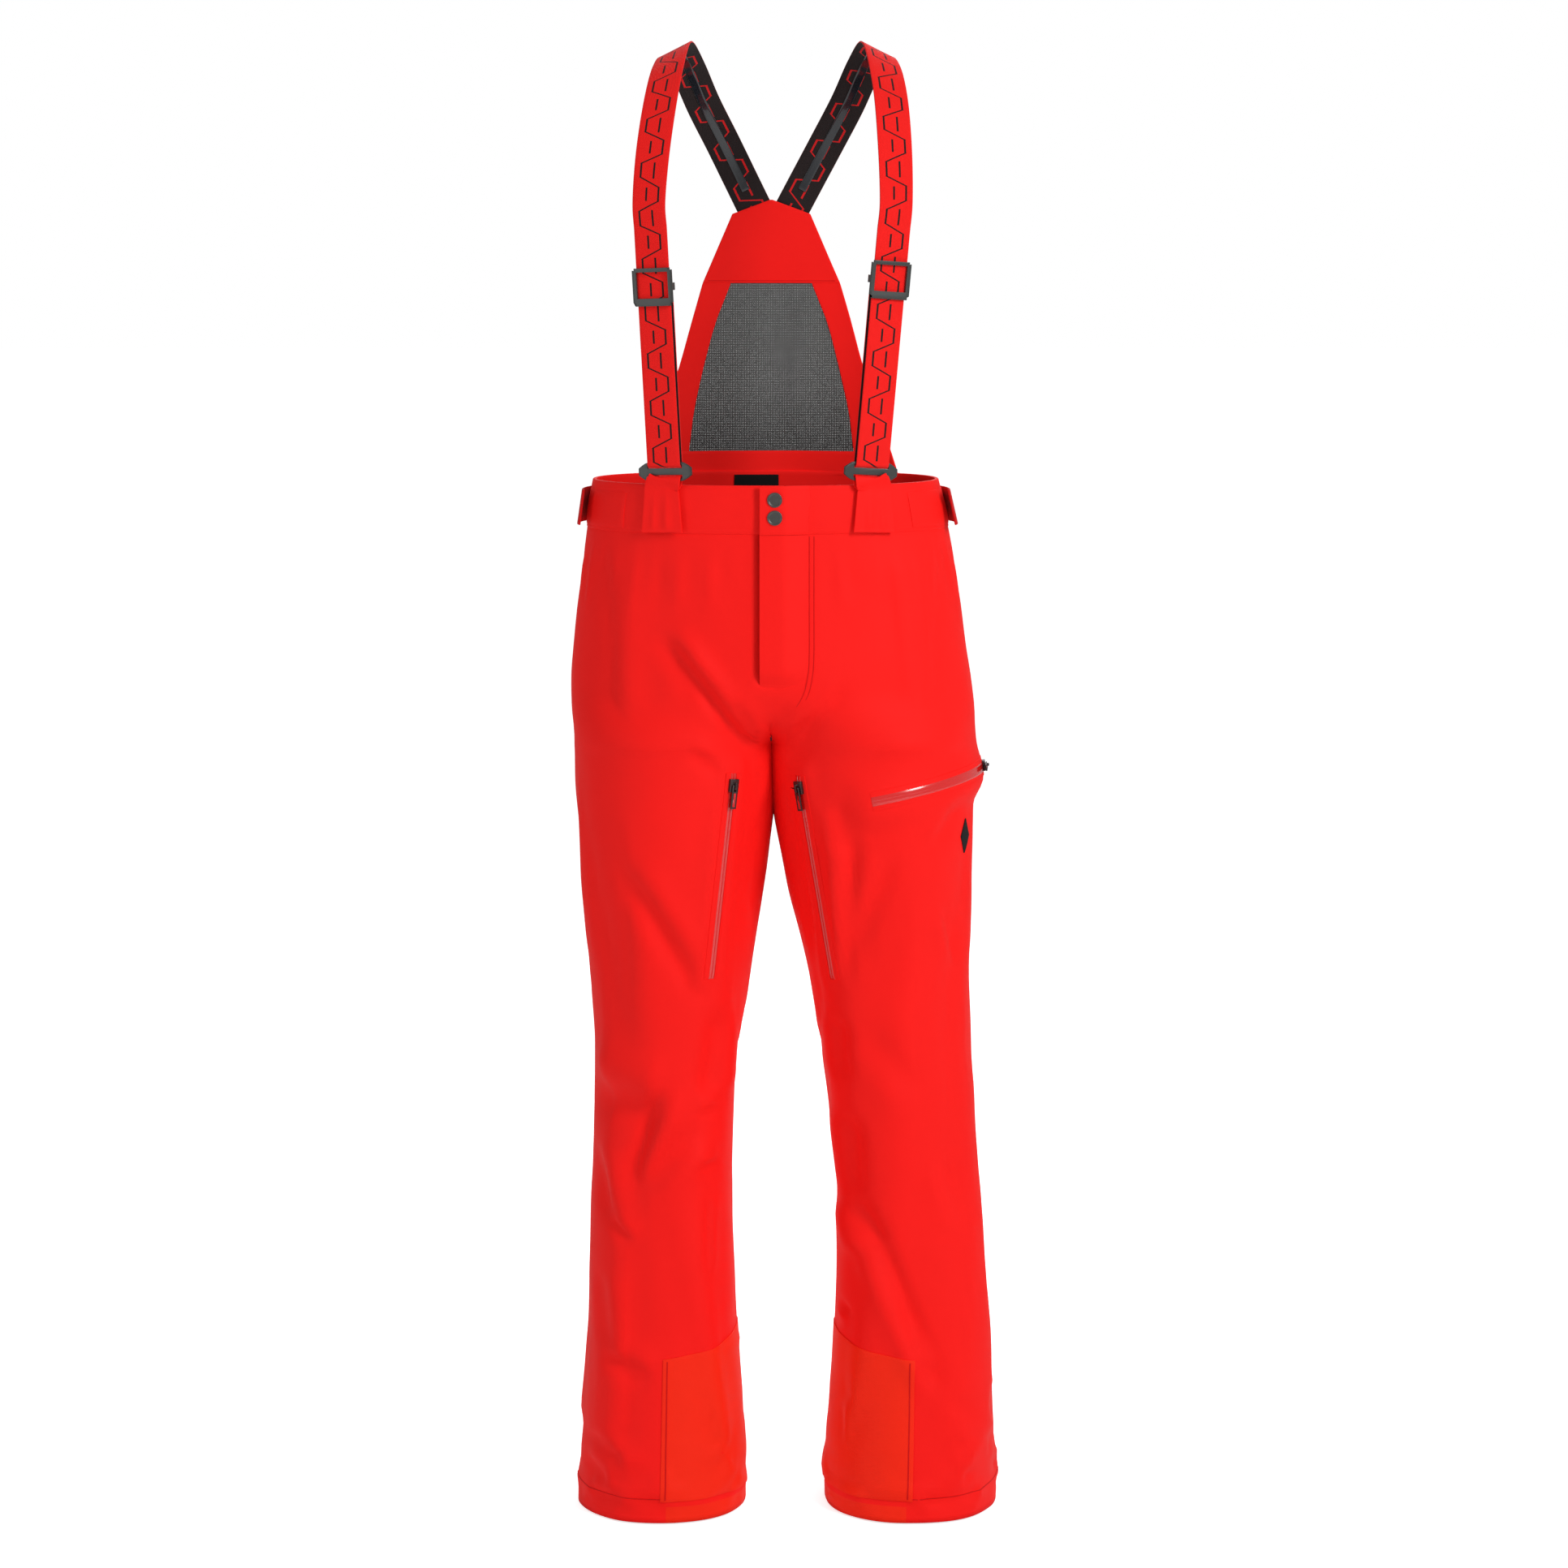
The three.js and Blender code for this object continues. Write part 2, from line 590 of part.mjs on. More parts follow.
// One waist adjuster tab: sewn at its rear end, its front end stands away from the waistband.
function adjusterTab(side) {
  const surface = (turn, z) => trunk(side * turn, z);
  const rear = radians(ADJUSTER.turn);
  const front = rear - radians(ADJUSTER.length);
  const away = (turn) => ADJUSTER.lift + ADJUSTER.spread * (rear - turn) / (rear - front);
  return cloth(surface, steps(rear, front, 8), steps(ADJUSTER.top, ADJUSTER.bottom, 2),
    (turn) => away(turn) + ADJUSTER.thickness, away, { sign: side, level: true });
}

function adjusterPatch(side) {
  const surface = (turn, z) => trunk(side * turn, z);
  const rear = radians(ADJUSTER.turn - 8);
  const columns = steps(rear, rear - radians(1.5 * ADJUSTER.length), 8);
  const rows = steps(ADJUSTER.top, ADJUSTER.bottom, 2);
  return cloth(surface, columns, rows, BAND_LIFT + 1.1, BAND_LIFT + GAP, { sign: side, level: true });
}

function waistLabel() {
  const surface = (turn, z) => trunk(turn, z);
  const columns = steps(radians(180 - 11), radians(180 + 2), 4);
  return cloth(surface, columns, steps(-4, -24, 1), -BAND_INSIDE - GAP, -BAND_INSIDE - GAP - 0.8, { level: true });
}

// ---------------------------------------------------------------- straps and their hardware

// Each strap's front run is straight. The frame turns with the chest.
function strapFrame(side) {
  const turn = radians(STRAP.turn);
  const out = vec(side * Math.sin(turn), -Math.cos(turn), 0);
  const waist = trunk(trunkTurn(STRAP_X[side], 0), 0);
  const reach = BAND_LIFT + LOOP.clearance + LOOP.thickness / 2 + TURN_RADIUS;
  const foot = waist.clone().addScaledVector(out, reach).setZ(HOOK.middle);
  const head = vec(STRAP_TOP_X[side], foot.y - 4, STRAP.straightTop);
  const up = head.clone().sub(foot).normalize();
  const across = vec(Math.cos(turn), side * Math.sin(turn), 0);
  across.addScaledVector(up, -across.dot(up)).normalize();
  const normal = across.clone().cross(up);
  return { foot, up, across, normal };
}

const onStrap = (frame, across, out, up) => frame.foot.clone()
  .addScaledVector(frame.across, across)
  .addScaledVector(frame.normal, out)
  .addScaledVector(frame.up, up);

// Half a turn of webbing round a bar: "way" is 1 when it passes below the bar and -1 above.
function halfTurn(frame, barHeight, way, width) {
  return steps(0, Math.PI, 8).map((angle) => ({
    at: onStrap(frame, 0, TURN_RADIUS * Math.cos(angle), barHeight - way * TURN_RADIUS * Math.sin(angle)),
    across: frame.across,
    width,
  }));
}

const TOP_BAR = HOOK.height / 2 - HOOK.bar / 2;

// Where the strap runs over the shoulder to the yoke.
function shoulderStations(side, frame) {
  const width = STRAP.width;
  const top = side === RIGHT ? [
    [-124, -104, 352, 0.9, -0.3, 0.1], [-116, -76, 408, 0.9, -0.15, 0.3], [-108, -38, 446, 0.89, 0, 0.42],
    [-101, 4, 459, 0.89, 0, 0.45], [-90, 48, 440, 0.9, 0, 0.44], [-74, 84, 402, 0.9, 0, 0.44],
    [-53, 107, 360, 0.9, 0, 0.44], [-32, 118.2, 317, 0.9, 0, 0.44], [-17, 119.4, 286.5, 0.9, 0, 0.44],
  ] : [
    [131, -104, 352, 0.9, 0.3, -0.1], [127, -76, 408, 0.9, 0.15, -0.3], [120, -38, 446, 0.89, 0, -0.42],
    [112, 4, 459, 0.89, 0, -0.45], [100, 48, 440, 0.88, 0, -0.46], [83, 84, 402, 0.88, 0, -0.47],
    [61, 107, 360, 0.88, 0, -0.47], [38, 118.2, 317, 0.88, 0, -0.47], [22, 119.4, 287, 0.88, 0, -0.47],
  ];
  const points = [onStrap(frame, 0, TURN_RADIUS, STRAP.straightTop - HOOK.middle - 30),
    onStrap(frame, 0, TURN_RADIUS, STRAP.straightTop - HOOK.middle), ...top.map((row) => vec(row[0], row[1], row[2]))];
  const acrosses = [frame.across, frame.across, ...top.map((row) => vec(row[3], row[4], row[5]).normalize())];
  const curve = new THREE.CatmullRomCurve3(points, false, 'centripetal');
  const count = 2 * (points.length - 1);
  return steps(0, 1, count).map((t) => {
    const place = Math.min(t * (points.length - 1), points.length - 1 - 1e-6);
    const index = Math.floor(place);
    const across = acrosses[index].clone().lerp(acrosses[index + 1], place - index);
    return { at: curve.getPoint(t), across, width };
  });
}

// One webbing: yoke, shoulder, front run, round the hook's bar and back up to the adjuster.
function shoulderStrap(side) {
  const frame = strapFrame(side);
  const width = STRAP.width;
  const round = halfTurn(frame, TOP_BAR, 1, width);
  const returnTop = ADJUSTER_HEIGHT[side] - HOOK.middle;
  const end = { at: onStrap(frame, 0, -TURN_RADIUS, returnTop), across: frame.across, width };
  const down = shoulderStations(side, frame).reverse();
  return ribbon([...down, ...round, end], STRAP.thickness);
}

// A grip strip on the strap's inner face, from the shoulder to the yoke.
const GRIP_STATIONS = [11, -2];
function strapGrip(side) {
  const stations = shoulderStations(side, strapFrame(side)).slice(...GRIP_STATIONS);
  const lift = STRAP.thickness / 2 + 3 * GAP + STRAP.gripThickness / 2;
  const inner = stations.map((station, i) => {
    const before = stations[Math.max(0, i - 1)].at;
    const after = stations[Math.min(stations.length - 1, i + 1)].at;
    const along = after.clone().sub(before).normalize();
    const inward = station.across.clone().cross(along).normalize();
    return { at: station.at.clone().addScaledVector(inward, lift), across: station.across, width: STRAP.gripWidth };
  });
  return ribbon(inner, STRAP.gripThickness);
}

// The hook: two slots beside a wide middle plate, with pointed ends.
function strapHook(side) {
  const frame = strapFrame(side);
  const half = HOOK.width / 2;
  const tall = HOOK.height / 2;
  const outline = new THREE.Shape([
    [-half, -3], [-half + 3, -tall + 1], [-half + 8, -tall], [half - 8, -tall], [half - 3, -tall + 1], [half, -3],
    [half, 3], [half - 3, tall - 1], [half - 8, tall], [-half + 8, tall], [-half + 3, tall - 1], [-half, 3],
  ].map(([x, y]) => new THREE.Vector2(x, y)));
  const open = HOOK.window / 2;
  for (const way of [1, -1]) {
    const far = way * (tall - HOOK.bar);
    const near = way * (tall - HOOK.bar - HOOK.slot);
    outline.holes.push(new THREE.Path([[-open, near], [open, near], [open, far], [-open, far]]
      .map(([x, y]) => new THREE.Vector2(x, y))));
  }
  const plate = new THREE.ExtrudeGeometry(outline, { depth: HOOK.thickness, bevelEnabled: false });
  plate.translate(0, 0, -HOOK.thickness / 2);
  return placed(plate, frame.across.clone(), frame.up.clone(), frame.across.clone().cross(frame.up), frame.foot);
}

// The fabric loop sewn to the waistband: up round the hook's lower bar and down behind it.
function hookLoop(side) {
  const frame = strapFrame(side);
  const onBand = (layer, z, width) => {
    const out = frontNormal(STRAP_X[side], z);
    const lift = BAND_LIFT + LOOP.clearance + LOOP.thickness / 2 + layer * (LOOP.thickness + GAP);
    const at = trunk(trunkTurn(STRAP_X[side], z), z).addScaledVector(out, lift);
    return { at, across: vec(-out.y, out.x, 0), width };
  };
  const round = halfTurn(frame, -TOP_BAR, -1, LOOP.top);
  return ribbon([
    onBand(1, 2 - BAND_HEIGHT, LOOP.bottom), onBand(1, -BAND_HEIGHT / 2, (LOOP.bottom + LOOP.top) / 2), ...round,
    onBand(0, -2, LOOP.top), onBand(0, -LOOP.backLength, LOOP.top),
  ], LOOP.thickness);
}

// The sliding adjuster: a frame in front of the webbing and a bar behind it.
function strapAdjuster(side) {
  const frame = strapFrame(side);
  const half = GLIDE.width / 2;
  const tall = GLIDE.height / 2;
  const front = STRAP.thickness / 2 + GAP;
  const outline = new THREE.Shape([[-half, -tall], [half, -tall], [half, tall], [-half, tall]]
    .map(([x, y]) => new THREE.Vector2(x, y)));
  const openX = half - GLIDE.rail;
  const openY = tall - GLIDE.bar;
  outline.holes.push(new THREE.Path([[-openX, -openY], [-openX, openY], [openX, openY], [openX, -openY]]
    .map(([x, y]) => new THREE.Vector2(x, y))));
  const plate = new THREE.ExtrudeGeometry(outline, { depth: GLIDE.thickness, bevelEnabled: false });
  plate.translate(0, 0, front);
  const behind = -2 * TURN_RADIUS + STRAP.thickness / 2 + GAP;
  const bar = box([-half, -GLIDE.backBar / 2, behind], [half, GLIDE.backBar / 2, -front]);
  const lugs = [-1, 1].map((way) => box(
    [way < 0 ? -half : half - GLIDE.rail, -GLIDE.backBar / 2, behind],
    [way < 0 ? -half + GLIDE.rail : half, GLIDE.backBar / 2, front + 1]));
  const origin = onStrap(frame, 0, TURN_RADIUS, ADJUSTER_HEIGHT[side] - HOOK.middle);
  return placed(join(plate, bar, ...lugs), frame.across.clone(), frame.up.clone(),
    frame.across.clone().cross(frame.up), origin);
}

// ---------------------------------------------------------------- back panel

// Half the width of the back panel and of its net at each height.
const BACK_WIDTH = [
  { z: BACK_PANEL.tip, panel: 34, net: 30 },
  { z: BACK_PANEL.shoulder, panel: 43, net: 40 },
  { z: BACK_PANEL.seam, panel: 76, net: 45 },
  { z: 162, panel: 89, net: 70 },
  { z: 117, panel: 101, net: 82 },
  { z: 67, panel: 119, net: 92 },
  { z: 0, panel: 139, net: 92 },
];

// The back panel leaves the waistband and flattens towards the shoulders.
function backSurface(x, z) {
  const band = trunk(Math.PI - trunkTurn(x, 0), 0);
  const share = THREE.MathUtils.smoothstep(z, 0, BACK_PANEL.tip);
  return vec(x, lerp(band.y, BACK_PANEL.flatBack - BACK_PANEL.bow * x * x, share), z);
}

function backSheet(leftEdge, rightEdge, heights, columns) {
  const surface = (share, z) => backSurface(lerp(rightEdge(z), leftEdge(z), share), z);
  return cloth(surface, steps(0, 1, columns), heights, 0, -BACK_PANEL.thickness, { sign: -1, level: true });
}

function backYoke() {
  const edge = (side) => (z) => side * readTable(BACK_WIDTH, Math.min(z, BACK_PANEL.shoulder), 'panel');
  const roof = (share) => lerp(BACK_PANEL.tip, BACK_PANEL.shoulder, Math.abs(2 * share - 1));
  const rows = steps(0, 1, 5).map((rise) => (share) => lerp(BACK_PANEL.seam + GAP / 2, roof(share), rise));
  return backSheet(edge(LEFT), edge(RIGHT), rows, 10);
}

function backNet() {
  const edge = (side) => (z) => side * (readTable(BACK_WIDTH, z, 'net') - GAP);
  return backSheet(edge(LEFT), edge(RIGHT), steps(BACK_PANEL.seam - GAP / 2, BACK_PANEL.meshBottom + GAP, 10), 10);
}

function backBorder(side) {
  const outerEdge = (z) => side * readTable(BACK_WIDTH, z, 'panel');
  const innerEdge = (z) => side * readTable(BACK_WIDTH, z, 'net');
  const [left, right] = side === LEFT ? [outerEdge, innerEdge] : [innerEdge, outerEdge];
  return backSheet(left, right, steps(BACK_PANEL.seam - GAP / 2, BACK_PANEL.meshBottom + GAP, 10), 4);
}

function backLowerBorder() {
  const edge = (side) => (z) => side * readTable(BACK_WIDTH, z, 'panel');
  return backSheet(edge(LEFT), edge(RIGHT), steps(BACK_PANEL.meshBottom, GAP, 2), 14);
}

// ---------------------------------------------------------------- hems, guards and gaiters

const ringColumns = (side) => steps(0, 2 * Math.PI, 2 * PANEL_COLUMNS).slice(0, -1).map((turn) => side * turn);

function legRing(side, rows, outer, inner) {
  const surface = (turn, z) => leg(side, turn, z);
  return cloth(surface, ringColumns(side), rows, outer, inner, { level: true, ring: true });
}

function hemBand(side) {
  return legRing(side, [HEM + HEM_BAND, HEM + HEM_BAND / 2, HEM], 0, -SHELL);
}

function scuffGuard(side) {
  const inseam = -side * Math.PI / 2;
  const surface = (turn, z) => leg(side, turn, z);
  const top = (turn) => GUARD.top - GUARD.drop * Math.abs(turn - inseam) / (Math.PI / 2);
  const bottom = HEM + HEM_BAND + 2;
  const heights = PANEL_HEIGHTS.filter((z) => z < GUARD.top - 2 * GUARD.drop && z > bottom);
  const rows = [top, ...heights, bottom];
  return cloth(surface, steps(inseam - Math.PI / 2, inseam + Math.PI / 2, PANEL_COLUMNS), rows,
    GAP + GUARD.thickness, GAP, { level: true });
}

// The gaiter is sewn inside the leg and narrows to an elastic cuff that grips the boot.
function gaiterInset(z) {
  return SHELL + 0.4 + GAITER.taper * (GAITER.top - z) / (GAITER.top - GAITER.bottom);
}

function snowGaiter(side) {
  return legRing(side, steps(GAITER.top, GAITER.bottom, 4),
    (_, z) => -gaiterInset(z), (_, z) => -gaiterInset(z) - GAITER.thickness);
}

function gaiterElastic(side) {
  const inset = gaiterInset(GAITER.bottom);
  return legRing(side, steps(GAITER.bottom - GAP, GAITER.bottom - GAITER.elastic, 1), -inset + 0.6, -inset - 1.8);
}

function thighPatch() {
  const surface = (turn, z) => leg(LEFT, turn, z);
  const columns = steps(radians(58), radians(72), 3);
  return cloth(surface, columns, steps(-366, -404, 1), GAP + 0.8, GAP, { level: true });
}

// ---------------------------------------------------------------- materials and the assembly

const cloths = {
  red: { color: 0xf0201e, roughness: 0.7, metalness: 0 },
  darkRed: { color: 0xb3101a, roughness: 0.75, metalness: 0 },
  webbing: { color: 0xe02422, roughness: 0.8, metalness: 0 },
  guard: { color: 0xf43020, roughness: 0.6, metalness: 0 },
  net: { color: 0x56585a, roughness: 0.9, metalness: 0 },
  black: { color: 0x101010, roughness: 0.8, metalness: 0 },
  lining: { color: 0x3a3c40, roughness: 0.9, metalness: 0 },
  grip: { color: 0x2c2e30, roughness: 0.3, metalness: 0 },
  plastic: { color: 0x34383a, roughness: 0.5, metalness: 0 },
  snap: { color: 0x4c4c4a, roughness: 0.4, metalness: 0.5 },
  zip: { color: 0xc01418, roughness: 0.4, metalness: 0 },
  slider: { color: 0xa01014, roughness: 0.4, metalness: 0.3 },
};

const pants = new THREE.Group();

function add(name, geometry, look) {
  const mesh = new THREE.Mesh(geometry, new THREE.MeshStandardMaterial(look));
  mesh.name = name;
  pants.add(mesh);
}

function addZipParts(name, line, rest) {
  add(`${name}_zip_slider`, onZip(zipSliderBody(), line, rest), cloths.slider);
  add(`${name}_zip_pull`, onZip(zipPullBody(), line, rest), cloths.red);
}

function addLegs() {
  const pocket = pocketFrame();
  const flyTool = box([-FLY.slot / 2, -200, FLY.bottom], [FLY.slot / 2, -60, 0]);
  for (const [word, side] of SIDES) {
    const vent = ventLine(side);
    const slits = side === LEFT ? [ventSlit(vent), pocketSlit(pocket)] : [ventSlit(vent)];
    add(`${word}_front_leg_panel`, cut(legPanel(side, FRONT), flyTool, ...slits), cloths.red);
    add(`${word}_back_leg_panel`, legPanel(side, BACK), cloths.red);
    add(`${word}_hem_band`, hemBand(side), cloths.red);
    add(`${word}_scuff_guard`, scuffGuard(side), cloths.guard);
    add(`${word}_snow_gaiter`, snowGaiter(side), cloths.lining);
    add(`${word}_gaiter_elastic`, gaiterElastic(side), cloths.black);
    add(`${word}_vent_zip_tape`, zipTape(vent, (point) => hugLeg(side, point, GAP)), cloths.zip);
    addZipParts(`${word}_vent`, vent, SLIDER_REST);
    add(`${word}_vent_net`, ventNet(side), cloths.net);
  }
  add('thigh_pocket_zip_tape', pocketTape(pocket), cloths.zip);
  addZipParts('thigh_pocket', pocketLine(pocket, radians(POCKET.end - 6)), 0);
  add('thigh_pocket_bag', pocketBag(), cloths.lining);
  add('thigh_patch', thighPatch(), cloths.black);
}

function addWaist() {
  add('right_front_waistband', waistband(-sideSeam + seamGap, trunkTurn(SEAM_X, 0), 16), cloths.red);
  add('left_front_waistband', waistband(trunkTurn(SEAM_X + GAP, 0) + seamGap, sideSeam - seamGap, 14), cloths.red);
  add('back_waistband', waistband(sideSeam, 2 * Math.PI - sideSeam, 24), cloths.red);
  add('waist_label', waistLabel(), cloths.black);
  add('waist_snap_tab', snapTab(), cloths.red);
  add('fly_flap', flyOverlap(steps(-BAND_HEIGHT - GAP, FLY.bottom, 6)), cloths.red);
  add('fly_underlap', flyUnderlap(), cloths.lining);
  const fly = flyLine();
  add('fly_zip_tape', zipTape(fly, (point) => point.add(vec(0, 1.2, 0))), cloths.zip);
  addZipParts('fly', fly, SLIDER_REST);
  for (const [word, z] of [['upper', SNAP.heights[0]], ['lower', SNAP.heights[1]]]) {
    add(`${word}_snap_cap`, snapCap(z), cloths.snap);
    add(`${word}_snap_stud`, snapStud(z), cloths.snap);
  }
  for (const [word, side] of SIDES) {
    add(`${word}_waist_adjuster_tab`, adjusterTab(side), cloths.darkRed);
    add(`${word}_waist_adjuster_patch`, adjusterPatch(side), cloths.black);
  }
}

function addStraps() {
  for (const [word, side] of SIDES) {
    add(`${word}_hook_loop`, hookLoop(side), cloths.red);
    add(`${word}_strap_hook`, strapHook(side), cloths.plastic);
    add(`${word}_shoulder_strap`, shoulderStrap(side), cloths.webbing);
    add(`${word}_strap_adjuster`, strapAdjuster(side), cloths.plastic);
    add(`${word}_strap_grip`, strapGrip(side), cloths.grip);
    add(`${word}_back_border`, backBorder(side), cloths.red);
  }
  add('back_yoke', backYoke(), cloths.red);
  add('back_net', backNet(), cloths.net);
  add('back_lower_border', backLowerBorder(), cloths.red);
}

addLegs();
addWaist();
addStraps();

export default pants;
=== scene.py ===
# %% [markdown]
# # Ski pants with shoulder straps and a raised back
# A pair of ski trousers stands as if worn. The cloth is one skin from the waistband to the hems. All that
# is sewn or hooked to it is placed from the CAD frame: zips, guards, loops, hooks, straps and back panel.

import json
import math

import bmesh
import bpy
import numpy as np
from mathutils import Matrix, Vector, noise


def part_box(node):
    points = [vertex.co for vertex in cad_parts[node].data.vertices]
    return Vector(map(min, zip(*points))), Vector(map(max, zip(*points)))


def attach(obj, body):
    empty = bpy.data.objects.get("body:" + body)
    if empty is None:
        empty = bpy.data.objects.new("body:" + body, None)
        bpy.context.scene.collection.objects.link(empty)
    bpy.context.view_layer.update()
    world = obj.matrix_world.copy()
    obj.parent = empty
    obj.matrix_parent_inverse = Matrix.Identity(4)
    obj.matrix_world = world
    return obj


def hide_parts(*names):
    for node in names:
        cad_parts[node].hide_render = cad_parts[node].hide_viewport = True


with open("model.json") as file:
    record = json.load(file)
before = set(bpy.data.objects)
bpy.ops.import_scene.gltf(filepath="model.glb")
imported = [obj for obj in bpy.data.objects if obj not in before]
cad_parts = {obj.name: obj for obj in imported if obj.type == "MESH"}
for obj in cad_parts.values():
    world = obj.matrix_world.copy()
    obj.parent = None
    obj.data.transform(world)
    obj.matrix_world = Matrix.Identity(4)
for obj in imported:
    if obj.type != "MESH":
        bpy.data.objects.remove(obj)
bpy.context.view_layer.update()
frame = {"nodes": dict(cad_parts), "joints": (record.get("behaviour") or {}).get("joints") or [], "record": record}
NODES = frame["nodes"]
BODY_OF = {node: body for body, nodes in frame["record"]["behaviour"]["bodies"].items() for node in nodes}
JOINTS = {joint["name"]: joint for joint in frame["joints"]}

# %% [markdown]
# ## Sizes read from the frame
# The panels of the CAD model have rows of corners at set heights. Each row gives the width and depth there.
# The rows are smoothed into curves, so the looks keep the CAD outline without its facets. Subdividing the
# CAD panels would round them too, but would pull the hems and the waist in from their true sizes.

# %% Constants
RIGHT, LEFT = -1, 1
SIDES = (RIGHT, LEFT)
WORD = {RIGHT: "right", LEFT: "left"}
MM = 0.001
SQUARENESS = 2.15      # 2 is an ellipse, more is squarer
FORK_HEIGHT = 0.075    # over which two legs become one trunk
FORK_FULLNESS = 0.5    # extra depth of the seat and lap where the legs join
BAND_LIFT = 0.6 * MM   # waistband face over the leg panels
SHELL = 3 * MM         # padded cloth
OUTLINE_BLUR = 0.014   # over which the corners between two rows are rounded


def vertices_of(node):
    data = NODES[node].data
    points = np.empty(len(data.vertices) * 3)
    data.vertices.foreach_get("co", points)
    return np.unique(points.reshape(-1, 3).round(6), axis=0)


def level_rows(points, least):
    heights, counts = np.unique(points[:, 2].round(5), return_counts=True)
    return heights[counts >= least][::-1]


def super_power(value):
    return np.sign(value) * np.abs(value) ** (2 / SQUARENESS)


# %% Measure the outline
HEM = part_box("left_hem_band")[0].z
HEM_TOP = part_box("left_hem_band")[1].z
BAND_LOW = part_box("back_waistband")[0].z
BAND_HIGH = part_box("back_waistband")[1].z


def crotch_height():
    points = vertices_of("left_back_leg_panel")
    near = points[(np.abs(points[:, 0]) < MM) & (points[:, 1] < MM)]
    return float(near[:, 2].max())


CROTCH = crotch_height()
NEAR_MIDDLE = 0.6      # corners further out than this say little about the depth
PANEL_CORNERS = 11     # a row of a leg panel has at least this many


def depth_at(points, middle, half):
    """The superellipse's depth through a row's outermost points."""
    share = np.abs(points[:, 0] - middle) / half
    near = share < NEAR_MIDDLE
    return float((np.abs(points[near, 1]) / (1 - share[near] ** SQUARENESS) ** (1 / SQUARENESS)).max())


def row_sizes(row, side, z, lift=0.0):
    """Height, inner and outer reach, and depths before and behind, of one row of corners."""
    outer = (side * row[:, 0]).max() - lift
    inner = (side * row[:, 0]).min() if z < CROTCH + MM else 0.0
    middle = side * (outer + inner) / 2 if z < CROTCH + MM else 0.0
    half = (outer - inner) / 2 if z < CROTCH + MM else outer
    front, back = row[row[:, 1] < 0], row[row[:, 1] > 0]
    return z, inner, outer, depth_at(front, middle, half) - lift, depth_at(back, middle, half) - lift


def at_height(points, z):
    return points[np.abs(points[:, 2] - z) < 0.02 * MM]


def measure_side(side):
    panels = np.vstack([vertices_of(f"{WORD[side]}_{face}_leg_panel") for face in ("front", "back")])
    hem = at_height(vertices_of(f"{WORD[side]}_hem_band"), HEM)
    band = np.vstack([vertices_of(f"{WORD[side]}_front_waistband"), vertices_of("back_waistband")])
    band = at_height(band[side * band[:, 0] > 0], BAND_HIGH)
    rows = [row_sizes(band, side, BAND_HIGH, BAND_LIFT)]
    for z in level_rows(vertices_of(f"{WORD[side]}_back_leg_panel"), PANEL_CORNERS):
        in_fork = CROTCH + MM < z < CROTCH + FORK_HEIGHT - MM
        if not in_fork:
            rows.append(row_sizes(at_height(panels, z), side, z))
    rows.append(row_sizes(hem, side, HEM))
    return np.array(rows)[::-1]


FINE_STEP, FINE_MARGIN = 2 * MM, 60 * MM
BLUR_REACH = 45 * MM
FINE_Z = np.arange(HEM - FINE_MARGIN, BAND_HIGH + FINE_MARGIN, FINE_STEP)


def smoothed(z, values):
    """The row values on a fine ladder of heights, blurred so that no corner is left."""
    slope_low = (values[1] - values[0]) / (z[1] - z[0])
    slope_high = (values[-1] - values[-2]) / (z[-1] - z[-2])
    fine = np.interp(FINE_Z, z, values)
    fine = np.where(FINE_Z < z[0], values[0] + slope_low * (FINE_Z - z[0]), fine)
    fine = np.where(FINE_Z > z[-1], values[-1] + slope_high * (FINE_Z - z[-1]), fine)
    reach = np.arange(-BLUR_REACH, BLUR_REACH + MM, FINE_STEP)
    kernel = np.exp(-((reach / OUTLINE_BLUR) ** 2))
    padded_row = np.pad(fine, len(reach) // 2, mode="edge")
    return np.convolve(padded_row, kernel / kernel.sum(), mode="valid")[: len(FINE_Z)]


PROFILE = {}
for side in SIDES:
    table = measure_side(side)
    names = ("inner", "outer", "front", "back")
    PROFILE[side] = {name: smoothed(table[:, 0], table[:, i + 1]) for i, name in enumerate(names)}
    widest, deepest = table[:, 2].max(), table[:, 3].max()
    print(f"{WORD[side]}: {len(table)} rows, widest {widest:.3f}, deepest {deepest:.3f}")
print("crotch", round(CROTCH, 3), "hem", round(HEM, 3), "band", round(BAND_LOW, 3))

# %% [markdown]
# ## The surface of the trousers
# One formula gives a point of the outer surface from a side, a turn and a height. The turn a is 0 at the
# inseam (or the front middle of the trunk), 1 at the side seam and 2 at the back middle.


# %% Surface functions
def profile(side, name, z):
    return np.interp(z, FINE_Z, PROFILE[side][name])


def trunk_share(z):
    return np.sin(np.clip((z - CROTCH) / FORK_HEIGHT, 0, 1) * np.pi / 2)


def blend_to(a, b, share):
    return a * (1 - share) + b * share


